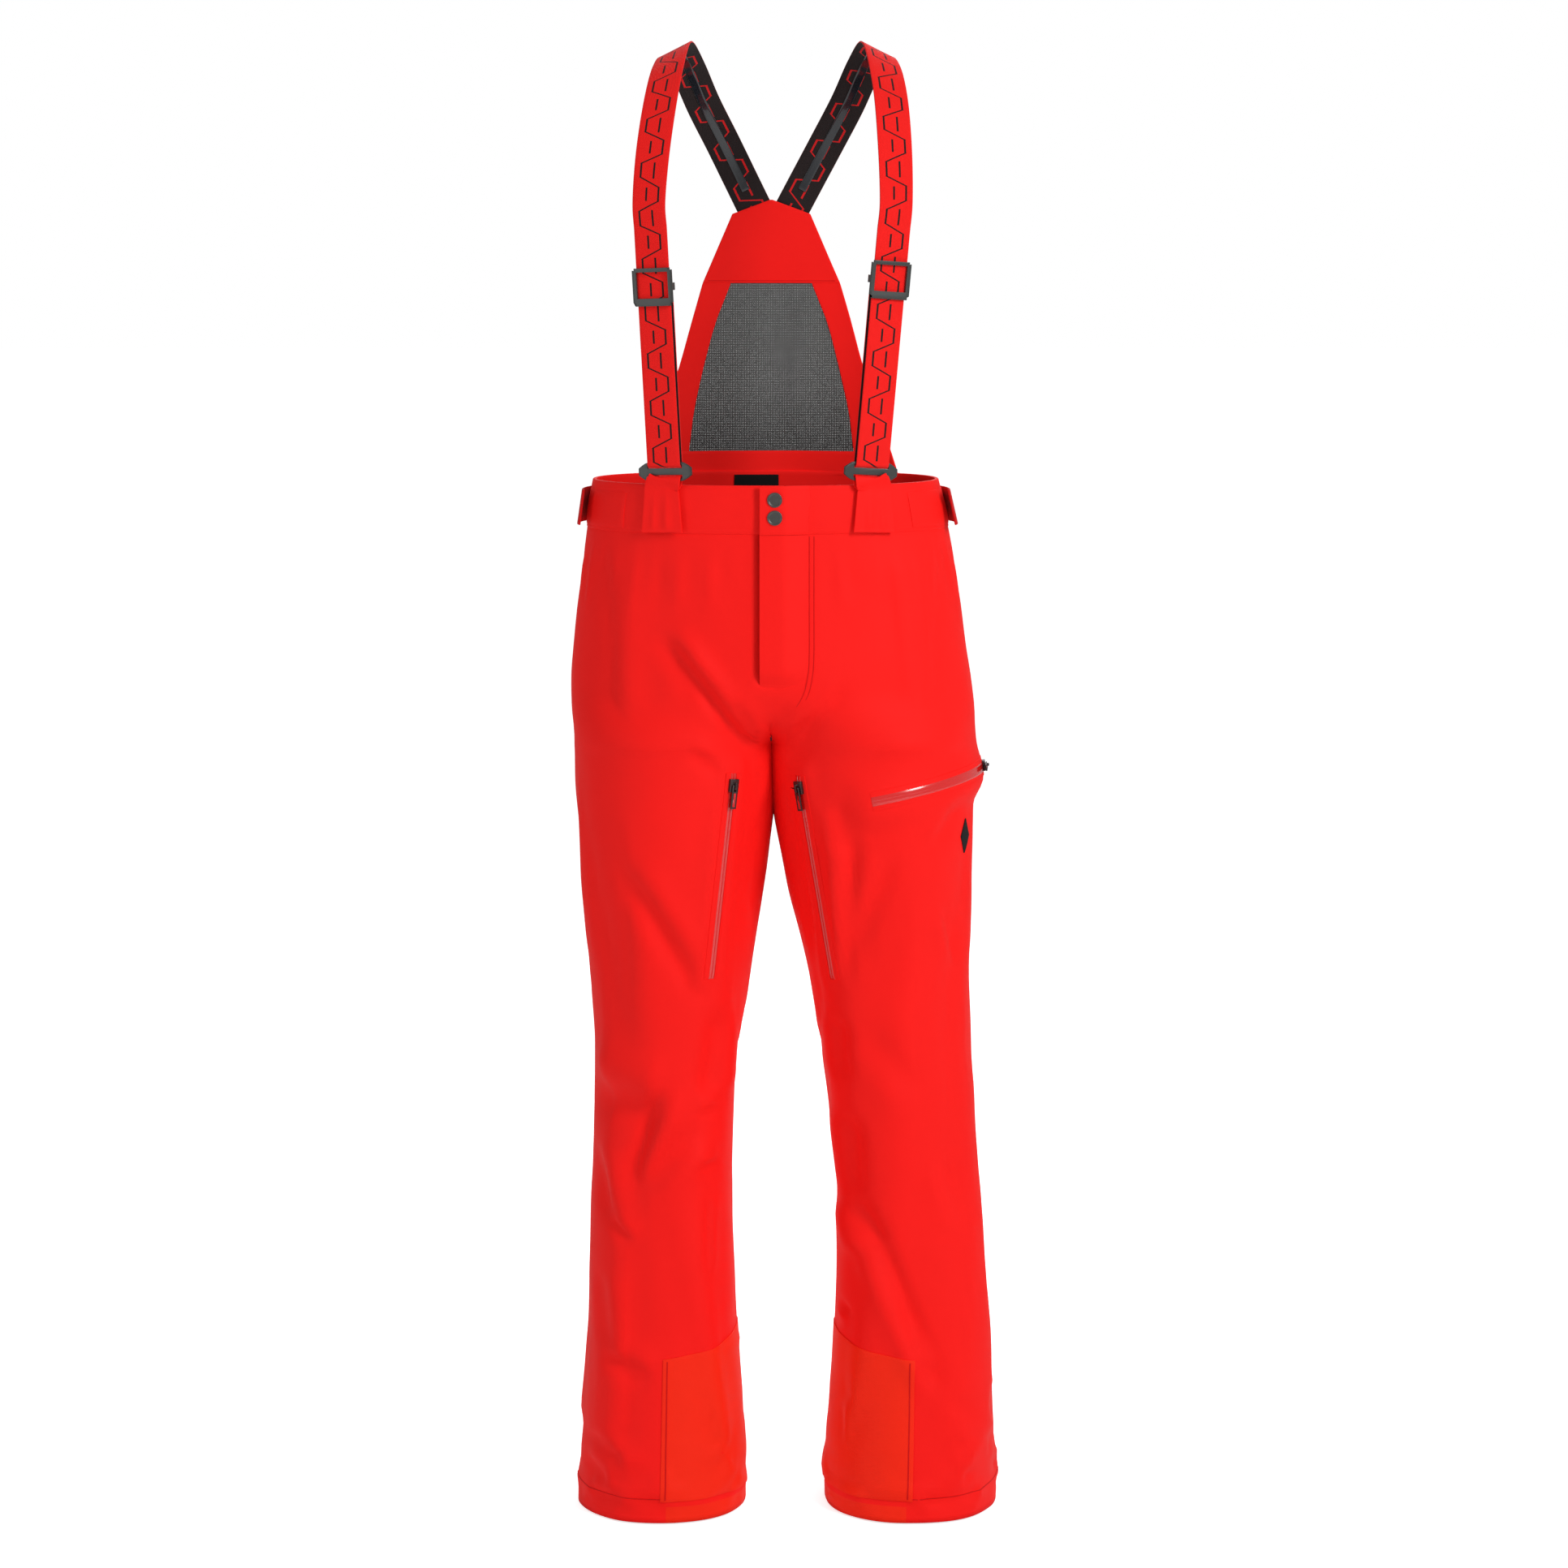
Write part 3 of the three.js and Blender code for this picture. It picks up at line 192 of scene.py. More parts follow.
def shell(side, a, z):
    a, z = np.broadcast_arrays(np.asarray(a, float), np.asarray(z, float))
    share = trunk_share(z)
    flip = np.where((share > 0) & (a < 0), -1.0, 1.0)
    a = np.where(share > 0, np.abs(a), np.mod(a, 2.0))
    front = a <= 1
    turn = np.where(front, a, 2 - a) * np.pi
    inner = np.where(z < CROTCH, profile(side, "inner", z) - profile(side, "inner", CROTCH), 0)
    inner = np.maximum(inner, 0)
    outer = profile(side, "outer", z)
    depth = np.where(front, profile(side, "front", z), profile(side, "back", z))
    depth = depth * (1 + FORK_FULLNESS * share * (1 - share))
    leg_x = (outer + inner) / 2 - (outer - inner) / 2 * super_power(np.cos(turn))
    leg_y = super_power(np.sin(turn))
    trunk_x = outer * super_power(np.sin(turn / 2))
    trunk_y = super_power(np.cos(turn / 2))
    x = side * flip * blend_to(leg_x, trunk_x, share)
    y = np.where(front, -1, 1) * depth * blend_to(leg_y, trunk_y, share)
    return np.stack([x, y, z], axis=-1)


def trunk(turn, z):
    """The trunk by its turn from the front in radians, positive towards the wearer's left."""
    turn, z = np.broadcast_arrays(np.asarray(turn, float), np.asarray(z, float))
    wrapped = np.mod(turn + np.pi, 2 * np.pi) - np.pi
    quarter = np.abs(wrapped) / (np.pi / 2)
    return np.where((wrapped < 0)[..., None], shell(RIGHT, quarter, z), shell(LEFT, quarter, z))


def trunk_turn(x, z):
    """The turn at which the front of the trunk has this x."""
    x = np.asarray(x, float)
    outer = np.where(x < 0, profile(RIGHT, "outer", z), profile(LEFT, "outer", z))
    return np.sign(x) * np.arcsin(np.clip(np.abs(x) / outer, 0, 1) ** (SQUARENESS / 2))


def smooth_share(value):
    """0 to 1 with soft ends."""
    value = np.clip(value, 0, 1)
    return value * value * (3 - 2 * value)


def unit(vectors):
    return vectors / np.maximum(np.linalg.norm(vectors, axis=-1, keepdims=True), 1e-12)


def over(surface, step=0.01):
    """A surface's points at a level distance out of it. Its u runs left to right when seen from outside."""
    def place(u, z, distance):
        across = surface(u + step, z) - surface(u - step, z)
        up = surface(u, z + MM) - surface(u, z - MM)
        normal = np.cross(across, up)
        normal[..., 2] = 0
        return surface(u, z) + unit(normal) * np.asarray(distance)[..., None]
    return place


over_trunk = over(trunk)
front_middle = over_trunk(0.0, BAND_LOW, 0.0)
print("the cloth at the front middle of the waist:", [round(float(v), 4) for v in front_middle])

# %% [markdown]
# ## Tools for building pieces
# A slab is a closed piece between two grids of points. Its edges are rounded with a bevel. Every piece ends
# with its object at the origin, and rides the CAD body of the node it stands for.


# %% Mesh tools
def only(piece):
    bpy.ops.object.select_all(action="DESELECT")
    piece.select_set(True)
    bpy.context.view_layer.objects.active = piece


def apply_modifier(piece, kind, **settings):
    only(piece)
    modifier = piece.modifiers.new(kind.title(), kind)
    for name, value in settings.items():
        setattr(modifier, name, value)
    bpy.ops.object.modifier_apply(modifier=modifier.name)


def new_piece(name, points, faces):
    data = bpy.data.meshes.new(name)
    data.from_pydata([tuple(p) for p in np.asarray(points).reshape(-1, 3)], [], faces)
    data.validate()
    piece = bpy.data.objects.new(name, data)
    bpy.context.scene.collection.objects.link(piece)
    return piece


def round_edges(piece, width, degrees, segments=2):
    """Bevels the edges that turn by more than these degrees."""
    angle = math.radians(degrees)
    apply_modifier(piece, "BEVEL", width=width, segments=segments, limit_method="ANGLE", angle_limit=angle)


def soften(piece, degrees):
    only(piece)
    bpy.ops.object.shade_smooth_by_angle(angle=math.radians(degrees))


def outward_faces(piece):
    mesh = bmesh.new()
    mesh.from_mesh(piece.data)
    bmesh.ops.recalc_face_normals(mesh, faces=mesh.faces)
    if mesh.calc_volume(signed=True) < 0:
        bmesh.ops.reverse_faces(mesh, faces=mesh.faces)
    mesh.to_mesh(piece.data)
    mesh.free()


def slab_faces(rows, columns, ring):
    """Quads of two matching grids, outer first, with the walls that join them."""
    total = rows * columns
    spans = columns if ring else columns - 1
    outer = lambda r, c: r * columns + c % columns
    inner = lambda r, c: total + outer(r, c)
    faces = []
    for r in range(rows - 1):
        for c in range(spans):
            faces.append((outer(r, c), outer(r + 1, c), outer(r + 1, c + 1), outer(r, c + 1)))
            faces.append((inner(r, c), inner(r, c + 1), inner(r + 1, c + 1), inner(r + 1, c)))
    for c in range(spans):
        faces.append((outer(0, c), outer(0, c + 1), inner(0, c + 1), inner(0, c)))
        faces.append((outer(rows - 1, c + 1), outer(rows - 1, c), inner(rows - 1, c), inner(rows - 1, c + 1)))
    for r in range(0 if ring else rows - 1):
        end = columns - 1
        faces.append((outer(r + 1, 0), outer(r, 0), inner(r, 0), inner(r + 1, 0)))
        faces.append((outer(r, end), outer(r + 1, end), inner(r + 1, end), inner(r, end)))
    return faces


def grid_uv(piece, rows, columns, sizes):
    """UV in metres over the first grid: u across and v along, the same on both faces of a slab."""
    uv = piece.data.uv_layers.new(name="weave")
    total = rows * columns
    for loop in piece.data.loops:
        place = loop.vertex_index % total
        uv.data[loop.index].uv = sizes[place // columns][place % columns]


CLOTH_CORNER = 50      # degrees; a fold that turns less is shaded smooth


def grid_size(grid):
    """Widest row, longest column and area of a grid of points: the flat size of a cloth before it is sewn."""
    across, down = np.diff(grid, axis=1), np.diff(grid, axis=0)
    width = np.linalg.norm(across, axis=-1).sum(axis=1).max()
    length = np.linalg.norm(down, axis=-1).sum(axis=0).max()
    cells = np.linalg.norm(np.cross(across[:-1], down[:, :-1]), axis=-1)
    return np.array([width, length, cells.sum()])


def slab(name, outer, inner, ring=False, bevel=0.4 * MM, sizes=None):
    rows, columns = outer.shape[:2]
    grid_size(np.concatenate([outer, outer[:, :1]], axis=1) if ring else outer)
    points = np.vstack([outer.reshape(-1, 3), inner.reshape(-1, 3)])
    piece = new_piece(name, points, slab_faces(rows, columns, ring))
    outward_faces(piece)
    if sizes is not None:
        grid_uv(piece, rows, columns, sizes)
    if bevel:
        round_edges(piece, bevel, CLOTH_CORNER)
    soften(piece, CLOTH_CORNER)
    return piece


def cloth_strip(name, surface, columns, share_rows, low, high, lift, thickness, **options):
    """A slab over a surface. low, high, lift and thickness are numbers or functions of (u, share)."""
    u, share = np.meshgrid(columns, share_rows)
    value = lambda thing: thing(u, share) if callable(thing) else np.full_like(u, thing)
    z = blend_to(value(high), value(low), share)
    inner = surface(u, z, value(lift))
    outer = surface(u, z, value(lift) + value(thickness))
    return slab(name, outer, inner, **options)


MATERIALS = {}
THREAD = 0.7 * MM


def ride_along(piece, material, node):
    """For a piece sewn or moulded onto another: it rides with the node's body but stands for nothing."""
    piece.data.materials.clear()
    piece.data.materials.append(MATERIALS[material])
    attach(piece, BODY_OF[node])
    return piece


def finish(piece, material, *nodes):
    """Gives a piece its material, and lets it stand for its CAD nodes and ride their body."""
    piece.data.materials.clear()
    for one in material if isinstance(material, (list, tuple)) else [material]:
        piece.data.materials.append(MATERIALS[one])
    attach(piece, BODY_OF[nodes[0]])
    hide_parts(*nodes)
    return piece


# %% [markdown]
# ## Materials
# All finishes are procedural. Cloth is matte with a fine weave and slow changes of tone. The coated zips are
# glossy, and the straps carry a plain zigzag line woven in a second colour.


# %% Node helpers
class Graph:
    """Short calls for building a node tree."""

    def __init__(self, tree):
        self.tree = tree

    def node(self, kind, inputs=(), **settings):
        made = self.tree.nodes.new(kind)
        for name, value in settings.items():
            setattr(made, name, value)
        for key, value in dict(inputs).items():
            if isinstance(value, bpy.types.NodeSocket):
                self.tree.links.new(value, made.inputs[key])
            else:
                made.inputs[key].default_value = value
        return made

    def math(self, operation, *values):
        return self.node("ShaderNodeMath", dict(enumerate(values)), operation=operation).outputs[0]

    def scale(self, vector, factor):
        return self.node("ShaderNodeVectorMath", {0: vector, "Scale": factor}, operation="SCALE").outputs[0]

    def away(self, value, place):
        """How far a value is from a place."""
        return self.math("ABSOLUTE", self.math("SUBTRACT", value, place))

    def mix(self, share, a, b):
        made = self.node("ShaderNodeMix", data_type="RGBA")
        for index, value in ((0, share), (6, a), (7, b)):
            if isinstance(value, bpy.types.NodeSocket):
                self.tree.links.new(value, made.inputs[index])
            else:
                made.inputs[index].default_value = value
        return made.outputs[2]


def new_group(name, inputs, outputs):
    tree = bpy.data.node_groups.new(name, "ShaderNodeTree")
    for socket, kind, value in inputs:
        made = tree.interface.new_socket(socket, in_out="INPUT", socket_type=kind)
        if value is not None:
            made.default_value = value
    for socket, kind in outputs:
        tree.interface.new_socket(socket, in_out="OUTPUT", socket_type=kind)
    graph = Graph(tree)
    return graph, graph.node("NodeGroupInput").outputs, graph.node("NodeGroupOutput").inputs


# %% Group: woven cloth
def make_cloth_group():
    graph, given, result = new_group(
        "woven_cloth",
        [("Color", "NodeSocketColor", (0.8, 0.8, 0.8, 1)), ("Thread", "NodeSocketFloat", 0.0012),
         ("Mottle", "NodeSocketFloat", 0.08)],
        [("Color", "NodeSocketColor"), ("Height", "NodeSocketFloat")])
    place = graph.node("ShaderNodeTexCoord").outputs["Object"]
    per_metre = graph.math("DIVIDE", 1.0, given["Thread"])
    parts = graph.node("ShaderNodeSeparateXYZ", {0: graph.scale(place, per_metre)}).outputs
    level = graph.math("ADD", parts["X"], parts["Y"])
    around = graph.math("SINE", graph.math("MULTIPLY", level, 2 * math.pi))
    up = graph.math("SINE", graph.math("MULTIPLY", parts["Z"], 2 * math.pi))
    weave = graph.math("MULTIPLY", around, up)
    slow = graph.node("ShaderNodeTexNoise", {"Vector": place, "Scale": 9.0, "Detail": 3.0}).outputs["Fac"]
    tone = graph.math("MULTIPLY_ADD", graph.math("SUBTRACT", slow, 0.5), given["Mottle"], 1.0)
    graph.tree.links.new(graph.scale(given["Color"], tone), result["Color"])
    graph.tree.links.new(weave, result["Height"])
    return graph.tree


# %% Group: zigzag line along a strap
LINE_SWING = 0.011     # the line runs this far to each side of the strap's middle
RIGHT_BAR, LEFT_BAR = 0.004, -0.003    # short bars beside it, one in each turn
STEEP_WIDER = 1.6      # the slanting runs need a wider band to look as thick as the straight ones


def make_line_group():
    graph, given, result = new_group(
        "woven_line", [("Period", "NodeSocketFloat", 0.05), ("Width", "NodeSocketFloat", 0.0011)],
        [("Line", "NodeSocketFloat")])
    place = graph.node("ShaderNodeUVMap", uv_map="weave").outputs[0]
    parts = graph.node("ShaderNodeSeparateXYZ", {0: place}).outputs
    across, along = parts["X"], graph.math("FRACT", graph.math("DIVIDE", parts["Y"], given["Period"]))
    ramp = graph.math("ABSOLUTE", graph.math("MULTIPLY_ADD", along, 2.0, -1.0))
    reach = {0: ramp, 1: 0.3, 2: 0.7, 3: -LINE_SWING, 4: LINE_SWING}
    swing = graph.node("ShaderNodeMapRange", reach).outputs[0]
    steep = {0: graph.away(ramp, 0.5), 1: 0.18, 2: 0.22, 3: STEEP_WIDER, 4: 1.0}
    width = graph.math("MULTIPLY", given["Width"], graph.node("ShaderNodeMapRange", steep).outputs[0])
    main = graph.math("LESS_THAN", graph.away(across, swing), width)
    near_middle = graph.math("LESS_THAN", graph.away(along, 0.5), 0.17)
    near_end = graph.math("GREATER_THAN", graph.away(along, 0.5), 0.36)
    on_right = graph.math("LESS_THAN", graph.away(across, RIGHT_BAR), given["Width"])
    on_left = graph.math("LESS_THAN", graph.away(across, LEFT_BAR), given["Width"])
    bars = graph.math("MAXIMUM", graph.math("MULTIPLY", near_middle, on_right),
                      graph.math("MULTIPLY", near_end, on_left))
    mask = graph.math("MAXIMUM", main, bars)
    graph.tree.links.new(mask, result["Line"])
    return graph.tree


CLOTH_GROUP = make_cloth_group()
LINE_GROUP = make_line_group()
print(len(CLOTH_GROUP.nodes), "nodes in the cloth group,", len(LINE_GROUP.nodes), "in the line group")


# %% Material makers
def base_material(name, color, roughness, **more):
    material = bpy.data.materials.new(name)
    material.use_nodes = True
    graph = Graph(material.node_tree)
    shader = material.node_tree.nodes["Principled BSDF"]
    shader.inputs["Base Color"].default_value = (*color, 1)
    shader.inputs["Roughness"].default_value = roughness
    for key, value in more.items():
        shader.inputs[key.replace("_", " ").title()].default_value = value
    MATERIALS[name] = material
    return graph, shader


def bump_from(graph, shader, height, distance):
    made = graph.node("ShaderNodeBump", {"Height": height, "Distance": distance})
    graph.tree.links.new(made.outputs[0], shader.inputs["Normal"])


CLOTH_SPECULAR = 0.1
TINT_OVER_COLOR = 0.35


def cloth_material(name, color, roughness, thread=0.0012, mottle=0.08, depth=0.00003, sheen=0.15):
    graph, shader = base_material(name, color, roughness, sheen_weight=sheen)
    shader.inputs["Specular IOR Level"].default_value = CLOTH_SPECULAR
    shader.inputs["Sheen Tint"].default_value = (*[min(1, TINT_OVER_COLOR + c) for c in color], 1)
    woven = graph.node("ShaderNodeGroup", node_tree=CLOTH_GROUP)
    woven.inputs["Color"].default_value = (*color, 1)
    woven.inputs["Thread"].default_value = thread
    woven.inputs["Mottle"].default_value = mottle
    graph.tree.links.new(woven.outputs["Color"], shader.inputs["Base Color"])
    bump_from(graph, shader, woven.outputs["Height"], depth)
    return graph, shader, woven


def strap_material(name, ground, line):
    graph, shader, woven = cloth_material(name, ground, 0.75, thread=0.0016, depth=0.00012)
    mask = graph.node("ShaderNodeGroup", node_tree=LINE_GROUP).outputs["Line"]
    mixed = graph.mix(mask, woven.outputs["Color"], (*line, 1))
    graph.tree.links.new(mixed, shader.inputs["Base Color"])


NET_SHADE = 0.07       # height over which the painted shade at the net's foot fades, as the net clears the waistband behind it
NET_CELLS = 520.0      # holes in a metre
NET_HOLE = 0.13        # a hole's radius as the cell pattern measures it


def net_material(name, color):
    """Knitted net: round holes in staggered rows, with painted shade low down, where the waistband is close behind
    it.
    """
    graph, shader, woven = cloth_material(name, color, 0.8, mottle=0.3, depth=0.00004)
    place = graph.node("ShaderNodeTexCoord").outputs["Object"]
    parts = graph.node("ShaderNodeSeparateXYZ", {0: place}).outputs
    flat = graph.node("ShaderNodeCombineXYZ", {"X": parts["X"], "Y": parts["Z"]}).outputs[0]
    cells = graph.node("ShaderNodeTexVoronoi", {"Vector": flat, "Scale": NET_CELLS, "Randomness": 0.1})
    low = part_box("back_net")[0].z
    # Painted shade: the net's colour is halved at its lower edge and comes back to full over NET_SHADE.
    rise = {0: parts["Z"], 1: low, 2: low + NET_SHADE, 3: 0.5, 4: 1.0}
    shade = graph.node("ShaderNodeMapRange", rise).outputs[0]
    graph.tree.links.new(graph.scale(woven.outputs["Color"], shade), shader.inputs["Base Color"])
    solid = graph.math("GREATER_THAN", cells.outputs["Distance"], NET_HOLE)
    graph.tree.links.new(solid, shader.inputs["Alpha"])


RED = (0.93, 0.010, 0.008)
INK = (0.018, 0.012, 0.012)

# %% Make the materials
cloth_material("red_shell", RED, 0.62, sheen=0.02)
cloth_material("lining", (0.035, 0.036, 0.042), 0.85, depth=0.00006)
cloth_material("scuff_fabric", (0.93, 0.022, 0.006), 0.55, thread=0.0018, depth=0.00006, sheen=0.02)
# The side tabs get a darker copy of the red: painted shade for the shadow they stand in at the waist's sides.
cloth_material("dark_red_tab", (0.60, 0.003, 0.004), 0.8, thread=0.0016, depth=0.0001)
cloth_material("black_fabric", (0.006, 0.006, 0.006), 0.8, thread=0.0016, depth=0.0001)
cloth_material("elastic", (0.012, 0.012, 0.013), 0.8, thread=0.003, depth=0.0003)
cloth_material("thread", (0.62, 0.006, 0.006), 0.7, thread=0.0008, sheen=0.02)
cloth_material("webbing_edge", (0.70, 0.014, 0.014), 0.8, thread=0.0016)
strap_material("red_webbing", (0.88, 0.012, 0.010), INK)
strap_material("webbing_inside", (0.020, 0.014, 0.014), (0.62, 0.012, 0.014))
net_material("grey_net", (0.080, 0.083, 0.081))
base_material("zip_coating", (0.66, 0.008, 0.007), 0.2, coat_weight=0.8, coat_roughness=0.16)
base_material("zip_slider", (0.030, 0.012, 0.012), 0.35)
base_material("pull_tab", (0.022, 0.012, 0.012), 0.4)
base_material("pull_insert", (0.60, 0.008, 0.008), 0.35)
base_material("dark_plastic", (0.030, 0.034, 0.032), 0.38)
base_material("snap_metal", (0.10, 0.10, 0.095), 0.32, metallic=0.7)
base_material("grip_silicone", (0.012, 0.014, 0.018), 0.12, coat_weight=0.5)
print(len(MATERIALS), "materials")

# %% [markdown]
# ## Zip lines
# Each vent zip is straight, so its slider can slide. The pocket zip is an arc round the outer thigh. Both
# are read from the CAD tapes and the joints, and the cloth is drawn up to them further on.


# %% Zip lines from the frame
RIDGE = 1.2 * MM       # teeth over the tape


def straight_zip(word):
    along = Vector(JOINTS[f"{word}_slider_travel"]["axis"]).normalized()
    across = Vector(JOINTS[f"{word}_pull_swing"]["axis"])
    across = (across - along * across.dot(along)).normalized()
    normal = np.array(across.cross(along))
    along, across = np.array(along), np.array(across)
    points = vertices_of(f"{word}_zip_tape")
    slider = vertices_of(f"{word}_zip_slider").mean(axis=0)
    if (slider - points.mean(axis=0)) @ normal < 0:
        normal = -normal
    spread = lambda axis: ((points @ axis).min(), (points @ axis).max())
    low, high = spread(along)
    left, right = spread(across)
    top = along * low + across * (left + right) / 2 + normal * (spread(normal)[1] - RIDGE)
    return {"top": top, "along": along, "across": across, "normal": normal, "length": high - low}


ZIPS = {word: straight_zip(word) for word in ("right_vent", "left_vent", "fly")}


def pocket_arc():
    joint = JOINTS["pocket_slider_travel"]
    centre, axis = np.array(joint["pos_m"]), np.array(joint["axis"])
    points = vertices_of("thigh_pocket_zip_tape") - centre
    radial = points - np.outer(points @ axis, axis)
    forward = unit(np.array([0, -1, 0.0]))
    side_way = unit(np.cross(forward, axis))
    side_way = side_way if side_way[0] > 0 else -side_way
    turns = np.arctan2(radial @ side_way, radial @ forward)
    radius = np.linalg.norm(radial, axis=1).max() - RIDGE
    return {"centre": centre, "axis": axis, "forward": forward, "sideways": side_way,
            "radius": radius, "start": turns.min(), "end": turns.max()}


POCKET = pocket_arc()
for word, line in ZIPS.items():
    print(f"{word} zip: {line['length']:.3f} m")
print(f"pocket zip: an arc of radius {POCKET['radius']:.4f} m")

# %% [markdown]
# ## The cloth of the trousers
# The real trousers are front and back panels sewn at the side seams, the inseams and the middle. They are
# modelled as one skin, because the cloth runs on without a step at its flat-felled seams. A cloth
# simulation gives the small natural wrinkles: the cloth is a little too long for its shape and buckles.
# The large folds that wearing leaves (crotch, knees, hems) are pressed in along drawn lines.

# %% Cloth grid
ROWS_ABOVE, ROWS_BELOW, COLUMNS = 42, 142, 108
CLOTH_TOP = BAND_LOW + 5 * MM
ROW_Z = np.concatenate([np.linspace(CLOTH_TOP, CROTCH, ROWS_ABOVE + 1),
                        np.linspace(CROTCH, HEM, ROWS_BELOW + 1)[1:]])
COLUMN_A = np.linspace(0, 2, COLUMNS + 1)
print("each side has", len(ROW_Z), "rows of", len(COLUMN_A), "points")


def weld(rows, fork_row):
    """One number for each place of both sides' grids; places that are sewn together share it."""
    columns = len(rows[0])
    numbers = np.arange(rows.size).reshape(rows.shape)
    index = {RIGHT: numbers.copy(), LEFT: numbers + rows.size}
    for end in (0, columns - 1):
        index[LEFT][: fork_row + 1, end] = index[RIGHT][: fork_row + 1, end]
    for side in SIDES:
        index[side][fork_row:, -1] = index[side][fork_row:, 0]
    flat = np.concatenate([index[side].ravel() for side in SIDES])
    used, compact = np.unique(flat, return_inverse=True)
    half = rows.size
    return {RIGHT: compact[:half].reshape(rows.shape), LEFT: compact[half:].reshape(rows.shape)}, len(used)


def welded_points(grids, index, count):
    total = np.zeros((count, 3))
    times = np.zeros(count)
    for side in SIDES:
        np.add.at(total, index[side].ravel(), grids[side].reshape(-1, 3))
        np.add.at(times, index[side].ravel(), 1)
    return total / times[:, None]


def skin_faces(index):
    faces = []
    for side in SIDES:
        i = index[side]
        quads = np.stack([i[:-1, :-1], i[1:, :-1], i[1:, 1:], i[:-1, 1:]], axis=-1).reshape(-1, 4)
        faces += (quads if side == LEFT else quads[:, ::-1]).tolist()
    return faces


def side_normals(side, a, z):
    across = shell(side, a + 0.01, z) - shell(side, a - 0.01, z)
    up = shell(side, a, z + MM) - shell(side, a, z - MM)
    return side * unit(np.cross(across, up))


def place_grid(side):
    a, z = np.meshgrid(COLUMN_A, ROW_Z)
    return shell(side, a, z), side_normals(side, a, z)


# %% [markdown]
# The simulation runs on every second row and column. The waist and hems are held, and weak springs hold
# the rest near its place. Only the wrinkles are kept, as offsets of at most a few millimetres.

# %% Wrinkles by simulation
WRINKLE_CAP = 5 * MM
SIM_FRAMES = 20
WAIST_GRIP, HEM_GRIP = 50 * MM, 40 * MM    # over which the hold fades from full
WEAK_HOLD = 0.12


def simulate(points, faces, held):
    piece = new_piece("cloth_to_wrinkle", points, faces)
    group = piece.vertex_groups.new(name="held")
    for number, weight in enumerate(held):
        group.add([number], float(weight), "REPLACE")
    modifier = piece.modifiers.new("Cloth", "CLOTH")
    setting = modifier.settings
    setting.quality = 6
    setting.mass = 0.2
    setting.tension_stiffness = 12
    setting.compression_stiffness = 12
    setting.bending_stiffness = 1.5
    setting.shrink_min = -0.012
    setting.vertex_group_mass = group.name
    setting.pin_stiffness = 0.6
    modifier.collision_settings.use_collision = False
    modifier.point_cache.frame_start = 1
    modifier.point_cache.frame_end = SIM_FRAMES
    for number in range(1, SIM_FRAMES + 1):
        bpy.context.scene.frame_set(number)
    seen = piece.evaluated_get(bpy.context.evaluated_depsgraph_get())
    moved = np.empty(len(seen.data.vertices) * 3)
    seen.data.vertices.foreach_get("co", moved)
    bpy.data.objects.remove(piece)
    bpy.context.scene.frame_set(1)
    return moved.reshape(-1, 3)


def wrinkles():
    """Offsets out of the cloth on the full grid, in metres."""
    coarse = {side: place_grid(side) for side in SIDES}
    points = {side: coarse[side][0][::2, ::2] for side in SIDES}
    index, count = weld(points[RIGHT][..., 0], ROWS_ABOVE // 2)
    start = welded_points(points, index, count)
    held = np.zeros(count)
    a, z = np.meshgrid(COLUMN_A[::2], ROW_Z[::2])
    at_waist = np.clip(1 - (CLOTH_TOP - z) / WAIST_GRIP, 0, 1)
    at_hem = np.clip(1 - (z - HEM) / HEM_GRIP, 0, 1)
    grip = np.maximum(at_waist, at_hem)
    for side in SIDES:
        held[index[side].ravel()] = np.maximum(WEAK_HOLD, grip).ravel()
    moved = simulate(start, skin_faces(index), held)
    offsets = {}
    for side in SIDES:
        normal = coarse[side][1][::2, ::2]
        out = ((moved - start)[index[side]] * normal).sum(axis=-1)
        offsets[side] = enlarge(np.clip(out, -WRINKLE_CAP, WRINKLE_CAP))
        print(f"{WORD[side]} wrinkles: {out.min() / MM:.1f} to {out.max() / MM:.1f} mm")
    return offsets


def enlarge(values):
    """Twice the rows and columns, with the new places midway."""
    rows = np.repeat(values, 2, axis=0)[:-1]
    rows[1::2] = (values[:-1] + values[1:]) / 2
    both = np.repeat(rows, 2, axis=1)[:, :-1]
    both[:, 1::2] = (rows[:, :-1] + rows[:, 1:]) / 2
    return both
